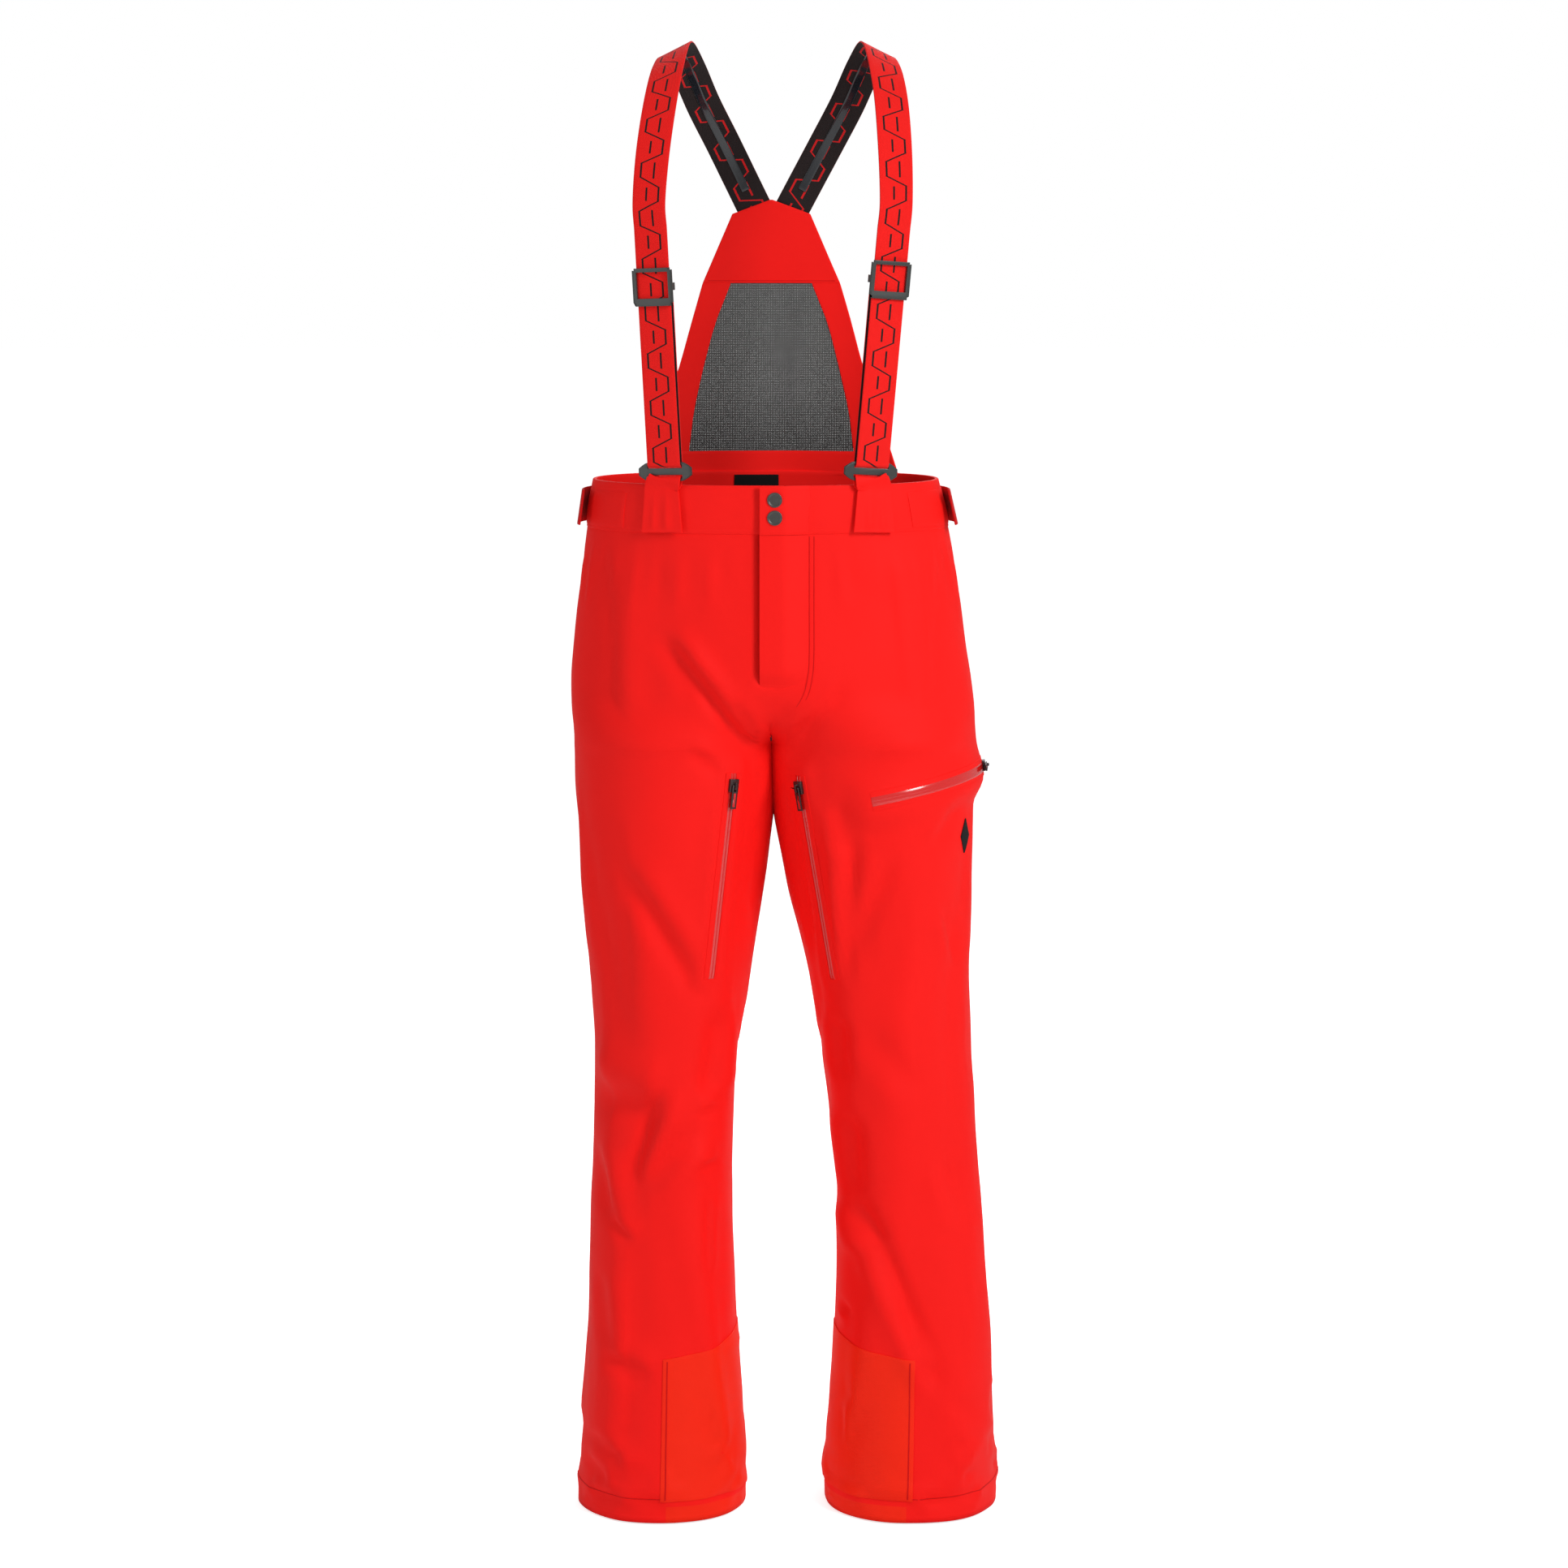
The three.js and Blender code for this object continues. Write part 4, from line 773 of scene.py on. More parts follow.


# %% [markdown]
# Each drawn fold is a line on the front or back of a leg: a hollow with a ridge beside it. Its two ends are
# given as shares of the leg's width, from the inseam, and of the height from the waist to the hem. Its
# width and depth are in millimetres. They are placed where this cloth really folds when it is
# worn: below the hip, across the knee and above the boot.

# %% Drawn folds
FRONT_FOLDS = {
    RIGHT: [
        (0.49, 0.15, 0.13, 0.243, 8, 5), (0.56, 0.143, 0.38, 0.2, 10, 2), (0.2, 0.2, 0.09, 0.226, 6, 3),
        (0.75, 0.367, 0.3, 0.484, 12, 4), (0.4, 0.25, 0.16, 0.285, 7, 2),
        (1.05, 0.588, 0.58, 0.604, 22, 6), (0.53, 0.578, 0.79, 0.676, 9, 4.5),
        (0.28, 0.615, 0.77, 0.684, 12, 3.5),
        (1, 0.637, 0.86, 0.709, 9, 3.5), (0.85, 0.707, 0.74, 0.727, 6, 2.5), (0.16, 0.505, 0.2, 0.583, 12, 4),
        (0.27, 0.602, 0.13, 0.598, 5, 2), (0.27, 0.655, 0.13, 0.652, 5, 2), (0.19, 0.686, 0.21, 0.76, 4, 1.8),
        (0.85, 0.843, 0.6, 0.862, 10, 4), (0.92, 0.76, 0.86, 0.83, 9, 2), (0.98, 0.95, 0.8, 0.966, 9, 2.5),
    ],
    LEFT: [
        (0.37, 0.325, 0.19, 0.48, 9, 4), (0.56, 0.353, 0.27, 0.447, 11, 3), (0.3, 0.3, 0.3, 0.35, 8, 2.5),
        (0.85, 0.404, 0.95, 0.458, 6, 2), (0.14, 0.512, 0.12, 0.569, 11, 4),
        (0.15, 0.606, 0.12, 0.686, 12, 5),
        (0.14, 0.69, 0.29, 0.73, 13, 5), (0.26, 0.715, 0.65, 0.868, 10, 5), (0.01, 0.795, 0.1, 0.803, 5, 2.5),
        (0.79, 0.649, 0.89, 0.712, 11, 2.2), (0.36, 0.19, 0.12, 0.24, 8, 2.2),
        (0.3, 0.52, 0.62, 0.58, 14, 1.8),
        (0.93, 0.3, 0.8, 0.34, 8, 1.8), (0.7, 0.88, 0.95, 0.93, 12, 1.8),
    ],
}
BACK_FOLDS = [
    (0.16, 0.262, 0.74, 0.226, 13, 4), (0.1, 0.3, 0.52, 0.272, 10, 3), (0.2, 0.59, 0.86, 0.604, 10, 4),
    (0.14, 0.628, 0.7, 0.636, 9, 4), (0.3, 0.668, 0.92, 0.652, 11, 3.5), (0.55, 0.42, 0.3, 0.5, 14, 2.2),
    (0.4, 0.74, 0.7, 0.83, 13, 2.5), (0.25, 0.88, 0.6, 0.93, 12, 2.5),
]
FULL_LENGTH = -HEM
FOLD_STRENGTH, BACK_STRENGTH = 1.7, 0.55
FOLD_FADE = 0.35       # share of a fold's length over which each end fades
FOLD_PAST = 0.12       # share by which it runs past its ends
RIDGE_SHARE, RIDGE_AWAY, RIDGE_WIDTH = 0.75, 1.9, 1.25    # the ridge against the hollow


def fold_line(side, points, fold):
    """The offset that one fold gives to points of one face of a leg."""
    near_share, near_height, far_share, far_height, width, depth = fold
    flat = np.stack([side * points[..., 0], points[..., 2]], axis=-1)
    ends = []
    for share, height in ((near_share, near_height), (far_share, far_height)):
        z = -height * FULL_LENGTH
        inner, outer = (float(profile(side, name, z)) for name in ("inner", "outer"))
        ends.append(np.array([inner + share * (outer - inner), z]))
    way = ends[1] - ends[0]
    length = np.linalg.norm(way)
    way = way / length
    rel = flat - ends[0]
    along = (rel @ way) / length
    beside = (rel[..., 0] * way[1] - rel[..., 1] * way[0]) / (width * MM)
    fade_in = np.clip((along + FOLD_PAST) / FOLD_FADE, 0, 1)
    fade_out = np.clip((1 + FOLD_PAST - along) / FOLD_FADE, 0, 1)
    hollow = -np.exp(-beside ** 2)
    ridge = RIDGE_SHARE * np.exp(-((beside - RIDGE_AWAY) / RIDGE_WIDTH) ** 2)
    return FOLD_STRENGTH * depth * MM * smooth_share(fade_in * fade_out) * (hollow + ridge)


def slow_waves(points, size, seed):
    shifted = points / size + seed
    flat = shifted.reshape(-1, 3)
    return np.array([noise.noise(Vector(p)) for p in flat]).reshape(points.shape[:-1])


FACE_EDGE = 2.2        # how sharply the folds of one face end at the side seam
HIP_WAVE = (2.2 * MM, 0.45, 0.085, 3.0)    # height, how much it is drawn out along the leg, size, seed
SMALL_WAVE = (0.8 * MM, 0.6, 0.032, 9.0)
HEM_WAVE, HEM_WAVE_RISE = (1.5 * MM, 0.1, 0.05, 5.0), 80 * MM


def cloth_wave(points, sizes, seed_shift=0):
    height, drawn_out, size, seed = sizes
    return height * slow_waves(points * np.array([1, 1, drawn_out]), size, seed + seed_shift)


def fold_offsets(side, points, normals):
    facing = np.clip(-normals[..., 1] * FACE_EDGE, 0, 1)
    behind = np.clip(normals[..., 1] * FACE_EDGE, 0, 1)
    offset = np.zeros(points.shape[:2])
    for fold in FRONT_FOLDS[side]:
        offset += facing * fold_line(side, points, fold)
    for fold in BACK_FOLDS:
        offset += BACK_STRENGTH * behind * fold_line(side, points, fold)
    offset += cloth_wave(points, HIP_WAVE, side)
    offset += cloth_wave(points, SMALL_WAVE, side)
    near_hem = np.clip(1 - (points[..., 2] - HEM) / HEM_WAVE_RISE, 0, 1)
    return offset + near_hem * cloth_wave(points, HEM_WAVE)


CALM_BELOW, CALM_BESIDE = 40 * MM, 30 * MM    # over which folds grow below the band and beside the fly


def calm_share(points):
    """0 where the cloth stays as cut, under the waistband and the fly, and 1 well away from them."""
    low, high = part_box("fly_flap")
    below = np.clip((CLOTH_TOP - points[..., 2] - 6 * MM) / CALM_BELOW, 0, 1)
    beside = np.maximum(low.x - points[..., 0], points[..., 0] - high.x)
    away = np.maximum(beside, low.z - points[..., 2])
    away = np.where(points[..., 1] > 0, 1.0, away)
    return below * np.clip((away - 2 * MM) / CALM_BESIDE, 0, 1)


print(len(FRONT_FOLDS[RIGHT]) + len(FRONT_FOLDS[LEFT]), "folds in front,", len(BACK_FOLDS), "behind each leg")


# %% [markdown]
# Near a zip the cloth is drawn up to just under the tape. Behind the fly it makes room for the zip.


# %% Draw the cloth to the zips
def falloff(distance, inside, outside):
    return smooth_share((outside - distance) / (outside - inside))


UNDER_TAPE = 0.5 * MM
TAPE_ROOM = 9 * MM                # the cloth is flat this far to each side of a zip's middle
BESIDE_VENT, PAST_VENT = 26 * MM, 22 * MM        # it is back to its own shape this far away
BESIDE_POCKET, PAST_POCKET = 38 * MM, 34 * MM
SAME_LAYER = 30 * MM              # cloth further off than this is another part of the trousers


def draw_to_line(points, normals, line):
    rel = points - line["top"]
    along, across, height = rel @ line["along"], rel @ line["across"], rel @ line["normal"]
    beyond = np.maximum(-along, along - line["length"])
    weight = falloff(np.abs(across), TAPE_ROOM, BESIDE_VENT) * falloff(beyond, 3 * MM, PAST_VENT)
    weight = weight * (normals @ line["normal"] > 0.2) * (np.abs(height) < SAME_LAYER)
    return points + line["normal"] * (weight * (-UNDER_TAPE - height))[..., None]


def draw_to_arc(points, arc):
    rel = points - arc["centre"]
    rise = rel @ arc["axis"]
    radial = rel - rise[..., None] * arc["axis"]
    radius = np.linalg.norm(radial, axis=-1)
    turn = np.arctan2(radial @ arc["sideways"], radial @ arc["forward"])
    beyond = np.maximum(arc["start"] - turn, turn - arc["end"]) * arc["radius"]
    weight = falloff(np.abs(rise), TAPE_ROOM, BESIDE_POCKET) * falloff(beyond, 2 * MM, PAST_POCKET)
    weight = weight * (np.abs(radius - arc["radius"]) < SAME_LAYER)
    goal = arc["radius"] - UNDER_TAPE
    return points + unit(radial) * (weight * (goal - radius))[..., None]


FLY_RECESS = 5.6 * MM
FLY_FLOOR, FLY_BANK = 8 * MM, 15 * MM    # half widths of the recess at its floor and at its top
ZIP_END = 6 * MM       # this much of the fly zip is sewn in under the cloth


def sink_fly(points, normals):
    low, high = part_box("fly_zip_tape")
    inside = falloff(np.abs(points[..., 0]), FLY_FLOOR, FLY_BANK) * (points[..., 1] < 0)
    beyond = np.maximum(low.z + ZIP_END - points[..., 2], points[..., 2] - high.z)
    return points - normals * (FLY_RECESS * inside * falloff(beyond, 0, 10 * MM))[..., None]


print(f"beside a vent zip the cloth is drawn up over {BESIDE_VENT / MM:.0f} mm")


# %% Shape the cloth
WRINKLE_SHARE = 0.8
GAITER_ROOM, GAITER_SLOPE = 2.5 * MM, 0.15    # how deep a fold may go where the gaiter is sewn in
UNDER_BAND = 0.4 * MM  # the cloth's top edge lies this far inside the band's face


def shaped_cloth(side, wrinkle):
    """One side's grid of points. Each row of wrinkles loses its mean, which keeps the outline as cut."""
    points, normals = place_grid(side)
    wrinkle = WRINKLE_SHARE * (wrinkle - wrinkle.mean(axis=1, keepdims=True))
    offset = (fold_offsets(side, points, normals) + wrinkle) * calm_share(points)
    gaiter_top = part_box(f"{WORD[side]}_snow_gaiter")[1].z
    room = GAITER_ROOM + GAITER_SLOPE * np.abs(points[..., 2] - gaiter_top)
    offset = np.maximum(offset, -room) - np.where(points[..., 2] > BAND_LOW, UNDER_BAND, 0)
    points = points + normals * offset[..., None]
    points = draw_to_line(points, normals, ZIPS[f"{WORD[side]}_vent"])
    if side == LEFT:
        points = draw_to_arc(points, POCKET)
    return sink_fly(points, normals)


SKIN = {side: shaped_cloth(side, wrinkle) for side, wrinkle in wrinkles().items()}
WELD, WELD_COUNT = weld(SKIN[RIGHT][..., 0], ROWS_ABOVE)
SKIN_POINTS = welded_points(SKIN, WELD, WELD_COUNT)


def vertex_normals(points, faces):
    quads = np.array(faces)
    corners = [points[quads[:, corner]] for corner in range(4)]
    flat = np.cross(corners[2] - corners[0], corners[3] - corners[1])
    total = np.zeros_like(points)
    for corner in range(4):
        np.add.at(total, quads[:, corner], flat)
    return unit(total)


SKIN_FACES = skin_faces(WELD)
SKIN_NORMALS = vertex_normals(SKIN_POINTS, SKIN_FACES)
print("cloth", len(SKIN_POINTS), "points,", len(SKIN_FACES), "faces")


def over_cloth(side):
    """Points at a distance out of the finished cloth, by the turn a and the height."""
    points, normals = SKIN_POINTS[WELD[side]], SKIN_NORMALS[WELD[side]]

    def place(a, z, distance):
        a, z, distance = np.broadcast_arrays(*(np.asarray(one, float) for one in (a, z, distance)))
        column = np.where(z < CROTCH, np.mod(a, 2.0), np.clip(a, 0, 2)) / 2 * COLUMNS
        row = np.interp(-z, -ROW_Z, np.arange(len(ROW_Z)))
        c = np.minimum(column.astype(int), COLUMNS - 1)
        r = np.minimum(row.astype(int), len(ROW_Z) - 2)
        fc, fr = (column - c)[..., None], (row - r)[..., None]
        pick = lambda grid: ((grid[r, c] * (1 - fc) + grid[r, c + 1] * fc) * (1 - fr)
                             + (grid[r + 1, c] * (1 - fc) + grid[r + 1, c + 1] * fc) * fr)
        return pick(points) + unit(pick(normals)) * distance[..., None]
    return place


ON_CLOTH = {side: over_cloth(side) for side in SIDES}


# %% Build the trousers
GUARD_COLUMNS = COLUMNS // 4    # the scuff guard covers this many columns to each side of the inseam


def under_guard():
    """Which points lie on a hem below a scuff guard, where the turned hem shows the guard's fabric."""
    covered = np.zeros(len(SKIN_POINTS), bool)
    columns = np.r_[0:GUARD_COLUMNS, COLUMNS - GUARD_COLUMNS + 1:COLUMNS]
    for side in SIDES:
        covered[WELD[side][ROW_Z < HEM_TOP + MM][:, columns].ravel()] = True
    return covered


trousers = new_piece("trousers_cloth", SKIN_POINTS, SKIN_FACES)
soften(trousers, 80)
finish(trousers, ("red_shell", "lining", "scuff_fabric"), "right_front_leg_panel", "right_back_leg_panel",
       "left_front_leg_panel", "left_back_leg_panel", "right_hem_band", "left_hem_band")
covered = under_guard()
for polygon in trousers.data.polygons:
    if all(covered[v] for v in polygon.vertices):
        polygon.material_index = 2
apply_modifier(trousers, "SOLIDIFY", thickness=SHELL, offset=-1, use_rim=True, material_offset=1,
               material_offset_rim=0)

# %% [markdown]
# Stitches and straps follow smooth lines through a few given points, as a pencil line follows the dots
# of a pattern. A curve object would need to be turned into a mesh; a formula gives the same line directly.

# %% A smooth line
SPLINE_STEPS = 24


def spline(points, count):
    """A smooth line through points, evenly spaced."""
    points = np.array(points)
    guides = np.vstack([2 * points[0] - points[1], points, 2 * points[-1] - points[-2]])
    line = []
    for i in range(1, len(points)):
        p0, p1, p2, p3 = guides[i - 1:i + 3]
        for t in np.linspace(0, 1, SPLINE_STEPS, endpoint=False):
            line.append(0.5 * (2 * p1 + (p2 - p0) * t + (2 * p0 - 5 * p1 + 4 * p2 - p3) * t ** 2
                               + (3 * p1 - p0 - 3 * p2 + p3) * t ** 3))
    line.append(points[-1])
    line = np.array(line)
    length = np.concatenate([[0], np.cumsum(np.linalg.norm(np.diff(line[:, :3], axis=0), axis=1))])
    even = np.linspace(0, length[-1], count)
    return np.stack([np.interp(even, length, line[:, k]) for k in range(line.shape[1])], axis=-1)


# %% [markdown]
# ## Waistband, side tabs and fly
# The waistband is a folded strip of the same cloth in three lengths. The front overlap is a stiffer flap
# that snaps over the right side; it tapers to nothing at the line of stitches that it opens about. Each is
# a slab laid over the trunk's surface. A plane wrapped round it with a modifier would drift off the outline.

# %% Waistband
BAND_INSIDE = 3.6 * MM
BAND_ROWS = np.linspace(0, 1, 12)


def band_puff(u, share):
    """The band bulges a little between its top edge and its bottom seam, and ripples along its length."""
    bulge = 0.9 * MM * np.sin(np.pi * np.clip(share, 0, 1))
    ripple = 0.5 * MM * np.sin(9 * u + 2) * np.sin(np.pi * share) + 0.3 * MM * np.sin(23 * u + 5 * share)
    return BAND_LIFT + BAND_INSIDE + bulge + ripple * np.sin(np.pi * share)


SEAM_TURN = math.radians(100)    # the side seams of the band
MEETING_X = 15 * MM    # where the two front lengths meet, under the overlap
MEETING = float(trunk_turn(MEETING_X, BAND_HIGH))
SEAM_GAP = 0.001       # radians between two lengths
BAND_LENGTHS = {"right_front_waistband": (-SEAM_TURN, MEETING - SEAM_GAP),
                "left_front_waistband": (MEETING + SEAM_GAP, SEAM_TURN - SEAM_GAP),
                "back_waistband": (SEAM_TURN, 2 * math.pi - SEAM_TURN - SEAM_GAP)}
for node, (start, end) in BAND_LENGTHS.items():
    columns = np.linspace(start, end, max(24, int((end - start) / 0.03)))
    piece = cloth_strip(node + "_cloth", over_trunk, columns, BAND_ROWS, BAND_LOW, BAND_HIGH, -BAND_INSIDE,
                        band_puff, bevel=1.0 * MM)
    finish(piece, "red_shell", node)

# %% Waist label
LABEL_GAP, LABEL_THICK = 0.3 * MM, 0.8 * MM
LABEL_TURNS = np.linspace(math.pi - math.radians(2), math.pi + math.radians(11), 14)
low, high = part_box("waist_label")
label = cloth_strip("waist_label_cloth", over_trunk, LABEL_TURNS, np.linspace(0, 1, 5), low.z, high.z,
                    -BAND_INSIDE - LABEL_GAP - LABEL_THICK, LABEL_THICK, bevel=0.2 * MM)
finish(label, "black_fabric", "waist_label")

# %% Side adjuster tabs
TAB_REAR, TAB_LENGTH = math.radians(104), math.radians(30)
TAB_LIFT, TAB_SPREAD, TAB_THICK = 1.6 * MM, 13 * MM, 2.0 * MM
TAB_CURVE, TAB_TWIST = 1.15, 0.8 * MM
PATCH_REAR, PATCH_LENGTH = TAB_REAR - math.radians(8), 1.5 * TAB_LENGTH
PATCH_SUNK, PATCH_THICK = 0.3 * MM, 1.1 * MM


def tab_stand_off(u, share):
    """How far a tab stands off the band: little at its sewn rear end, more towards its free front end."""
    forward = (TAB_REAR - np.abs(u)) / TAB_LENGTH
    return TAB_LIFT + TAB_SPREAD * forward ** TAB_CURVE + TAB_TWIST * np.sin(3.1 * forward) * (share - 0.5)


def on_band_face(u, share):
    return band_puff(u, share) - BAND_INSIDE - PATCH_SUNK


for side in SIDES:
    low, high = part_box(f"{WORD[side]}_waist_adjuster_tab")
    stretch = np.sort(side * np.linspace(TAB_REAR, TAB_REAR - TAB_LENGTH, 18))
    piece = cloth_strip(f"{WORD[side]}_adjuster_tab", over_trunk, stretch, np.linspace(0, 1, 7),
                        low.z, high.z, tab_stand_off, TAB_THICK, bevel=0.6 * MM)
    # The tab's darker red is painted shade.
    finish(piece, "dark_red_tab", f"{WORD[side]}_waist_adjuster_tab")
    stretch = np.sort(side * np.linspace(PATCH_REAR, PATCH_REAR - PATCH_LENGTH, 20))
    patch = cloth_strip(f"{WORD[side]}_adjuster_patch", over_trunk, stretch, np.linspace(0, 1, 5),
                        low.z, high.z, on_band_face, PATCH_THICK, bevel=0.3 * MM)
    finish(patch, "red_shell", f"{WORD[side]}_waist_adjuster_patch")

# %% Fly flap and snap tab
low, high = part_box("fly_flap")
FLY_EDGE, FLY_HINGE, FLY_BOTTOM = low.x + 0.3 * MM, 42 * MM, low.z
FLAP_LIFT, FLAP_THICK, FLAP_SINK, FLAP_FADE = 4.4 * MM, 2.4 * MM, -0.6 * MM, 0.11
FLAP_SLOPE, FLAP_THINNING, FLAP_THIN = 0.62, 0.5, 0.4 * MM    # it slopes and thins over these shares
FLAP_SAG = 2 * MM      # its lower end hangs lower in the middle
BAND_GAP = 0.3 * MM    # between the waistband and what hangs from it


def over_front(share, z, distance):
    """The front of the trunk by the share of the way from the fly's free edge to its stitched edge."""
    def flat(u, height):
        return trunk(trunk_turn(FLY_EDGE + u * (FLY_HINGE - FLY_EDGE), height), height)
    return over(flat)(share, z, distance)


def flap_lift(u, share):
    """How far the flap stands off: most at its free edge, nothing at its stitched side."""
    return FLAP_SINK + (FLAP_LIFT - FLAP_SINK) * smooth_share((1 - u) / FLAP_SLOPE)


def flap_thick(u, share):
    return FLAP_THIN + (FLAP_THICK - FLAP_THIN) * np.clip((1 - u) / FLAP_THINNING, 0, 1)


def down_to_seam(share):
    """1 along the flap, falling to 0 at its lower end, where it is sewn into the seam."""
    return smooth_share((1 - share) / FLAP_FADE)


def flap_low(u, share):
    return FLY_BOTTOM - FLAP_SAG * np.sin(np.pi * np.clip(u, 0, 1))


def sewn_lift(u, share):
    return blend_to(2 * FLAP_SINK, flap_lift(u, share), down_to_seam(share))


def sewn_thick(u, share):
    return blend_to(0.5 * MM, flap_thick(u, share), down_to_seam(share))


def tab_thick(u, share):
    return flap_thick(u, share) + 0.8 * MM * np.sin(np.pi * share)


FLAP_COLUMNS = np.linspace(0, 1, 26)
flap = cloth_strip("fly_flap_cloth", over_front, FLAP_COLUMNS, np.linspace(0, 1, 30), flap_low,
                   BAND_LOW - BAND_GAP, sewn_lift, sewn_thick, bevel=0)
finish(flap, "red_shell", "fly_flap")
tab = cloth_strip("snap_tab_cloth", over_front, FLAP_COLUMNS, BAND_ROWS, BAND_LOW, BAND_HIGH,
                  lambda u, share: flap_lift(u, share) + BAND_LIFT, tab_thick, bevel=0.9 * MM)
finish(tab, "red_shell", "waist_snap_tab")

# %% Fly stitches and underlap
J_STITCH = [(41, -54), (41, -120), (41, -180), (39, -205), (33, -228), (23, -247), (9, -262)]
J_ROW_GAP = 5 * MM
UNDERLAP_HALF, UNDERLAP_BACK, UNDERLAP_THICK = 24 * MM, 7.9 * MM, 1.5 * MM


def front_by_x(x, z):
    return trunk(trunk_turn(x, z), z)


def flap_top(x):
    """The height of the flap's outer face at this x."""
    u = np.linspace(0, 1, 30)
    return np.interp((x - FLY_EDGE) / (FLY_HINGE - FLY_EDGE), u, flap_lift(u, 0) + flap_thick(u, 0))


def j_stitch():
    """Two close rows of thread that hold the flap: straight down, then curving to the crotch seam."""
    front = over(front_by_x)
    path = spline(np.array(J_STITCH) * MM, 90)
    way = unit(np.gradient(path, axis=0))
    across = np.stack([way[:, 1], -way[:, 0]], axis=-1)
    edges = THREAD / 2 * np.array([-1, 0, 1])
    for number, shift in enumerate((0.0, J_ROW_GAP)):
        rows = (path - across * shift)[:, None] + across[:, None] * edges[:, None]
        x, z = rows[..., 0], rows[..., 1]
        lift = np.where(z > FLY_BOTTOM, np.maximum(flap_top(x), 0), 0) + 0.1 * MM
        outer, inner = front(x, z, lift + THREAD / 2), front(x, z, lift - THREAD)
        row = slab(f"fly_stitch_{number}", outer, inner, bevel=0)
        ride_along(row, "thread", "fly_flap")


j_stitch()
underlap = cloth_strip("fly_underlap_cloth", over(front_by_x, step=0.5 * MM),
                       np.linspace(-UNDERLAP_HALF, UNDERLAP_HALF, 10), np.linspace(0, 1, 16), FLY_BOTTOM,
                       BAND_LOW - BAND_GAP, -UNDERLAP_BACK, UNDERLAP_THICK, bevel=0.3 * MM)
finish(underlap, "lining", "fly_underlap")

# %% [markdown]
# ## Press studs
# A stud's cap is a pressed disc with a rolled rim. It could be spun from a profile. Here it starts as a
# cylinder; its face is inset and pushed in, which leaves the ring that catches the light.

# %% Snaps
CAP_RADIUS, CAP_HEIGHT, CAP_BEVEL = 8 * MM, 1.5 * MM, 0.35 * MM
CAP_STEPS = ((1.5 * MM, 0.0), (0.6 * MM, -0.7 * MM), (3.2 * MM, 0.25 * MM))
STUD_RADIUS, STUD_HEIGHT, STUD_BEVEL = 6 * MM, 0.9 * MM, 0.2 * MM
STUD_STEPS = ((3.4 * MM, 0.0), (0.2 * MM, 2.4 * MM), (0.6 * MM, -0.6 * MM))
CAP_OVER_TAB, STUD_OVER_BAND = 0.7 * MM, 1.0 * MM
CAP_SHARE = 0.3        # the caps sit this share of the way from the tab's free edge


def edit_mesh():
    return bmesh.from_edit_mesh(bpy.context.edit_object.data)


def select_top():
    mesh = edit_mesh()
    bpy.ops.mesh.select_all(action="DESELECT")
    top = max(face.calc_center_median().z for face in mesh.faces)
    for face in mesh.faces:
        face.select = face.normal.z > 0.9 and face.calc_center_median().z > top - 1e-6
    bmesh.update_edit_mesh(bpy.context.edit_object.data)


def disc(name, radius, height, steps, bevel):
    """A cylinder whose top is inset and moved once for each (inset, move) step."""
    bpy.ops.object.select_all(action="DESELECT")
    bpy.ops.mesh.primitive_cylinder_add(vertices=40, radius=radius, depth=height, location=(0, 0, height / 2))
    piece = bpy.context.active_object
    piece.name = name
    bpy.ops.object.transform_apply(location=True, rotation=True, scale=True)
    bpy.ops.object.mode_set(mode="EDIT")
    select_top()
    for inset, move in steps:
        bpy.ops.mesh.inset(thickness=inset, depth=move)
    bpy.ops.object.mode_set(mode="OBJECT")
    round_edges(piece, bevel, 30, segments=3)
    soften(piece, 40)
    return piece


def put(piece, matrix):
    """Moves the mesh itself, so that the object stays at the origin."""
    piece.data.transform(matrix)
    if matrix.determinant() < 0:
        piece.data.flip_normals()
    piece.matrix_world = Matrix.Identity(4)


def basis(x, y, z, origin):
    matrix = Matrix([list(x) + [0], list(y) + [0], list(z) + [0], [0, 0, 0, 1]]).transposed()
    matrix.translation = Vector(origin)
    return matrix


def facing(origin, out):
    out = Vector(out).normalized()
    side_way = Vector((0, 0, 1)).cross(out).normalized()
    return basis(side_way, out.cross(side_way), out, origin)


for word in ("upper", "lower"):
    low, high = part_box(f"{word}_snap_cap")
    middle = (low + high) / 2
    turn = float(trunk_turn(middle.x, middle.z))
    out = unit(over_trunk(turn, middle.z, 1.0) - over_trunk(turn, middle.z, 0.0))
    cap = disc(f"{word}_cap", CAP_RADIUS, CAP_HEIGHT, CAP_STEPS, CAP_BEVEL)
    tab_face = float(flap_lift(CAP_SHARE, 0.5)) + BAND_LIFT + FLAP_THICK
    put(cap, facing(over_trunk(turn, middle.z, tab_face + CAP_OVER_TAB), out))
    finish(cap, "snap_metal", f"{word}_snap_cap")
    stud = disc(f"{word}_stud", STUD_RADIUS, STUD_HEIGHT, STUD_STEPS, STUD_BEVEL)
    put(stud, facing(over_trunk(turn, middle.z, BAND_LIFT + STUD_OVER_BAND), out))
    finish(stud, "snap_metal", f"{word}_snap_stud")

# %% [markdown]
# ## Zips
# The vent and pocket zips are water-resistant: a glossy film covers the tape, with a thin groove where its
# two lips meet. The tape lies on the drawn-up cloth. Sliders and pulls are small castings and mouldings.

# %% Zip tapes
TAPE_HALF = 10 * MM
VENT_FILM, POCKET_FILM = 3.6 * MM, 5.0 * MM
FILM_SLOPE = 1.1 * MM
LIP_HALF = 0.5 * MM
DEEP_GROOVE, FINE_GROOVE = 0.5, 0.9    # the groove's floor as a share of the film's height
TAPE_SINK = 0.3 * MM
TAPE_STEPS = 60
TAPE_END = 0.02        # share of its length over which each end slopes down


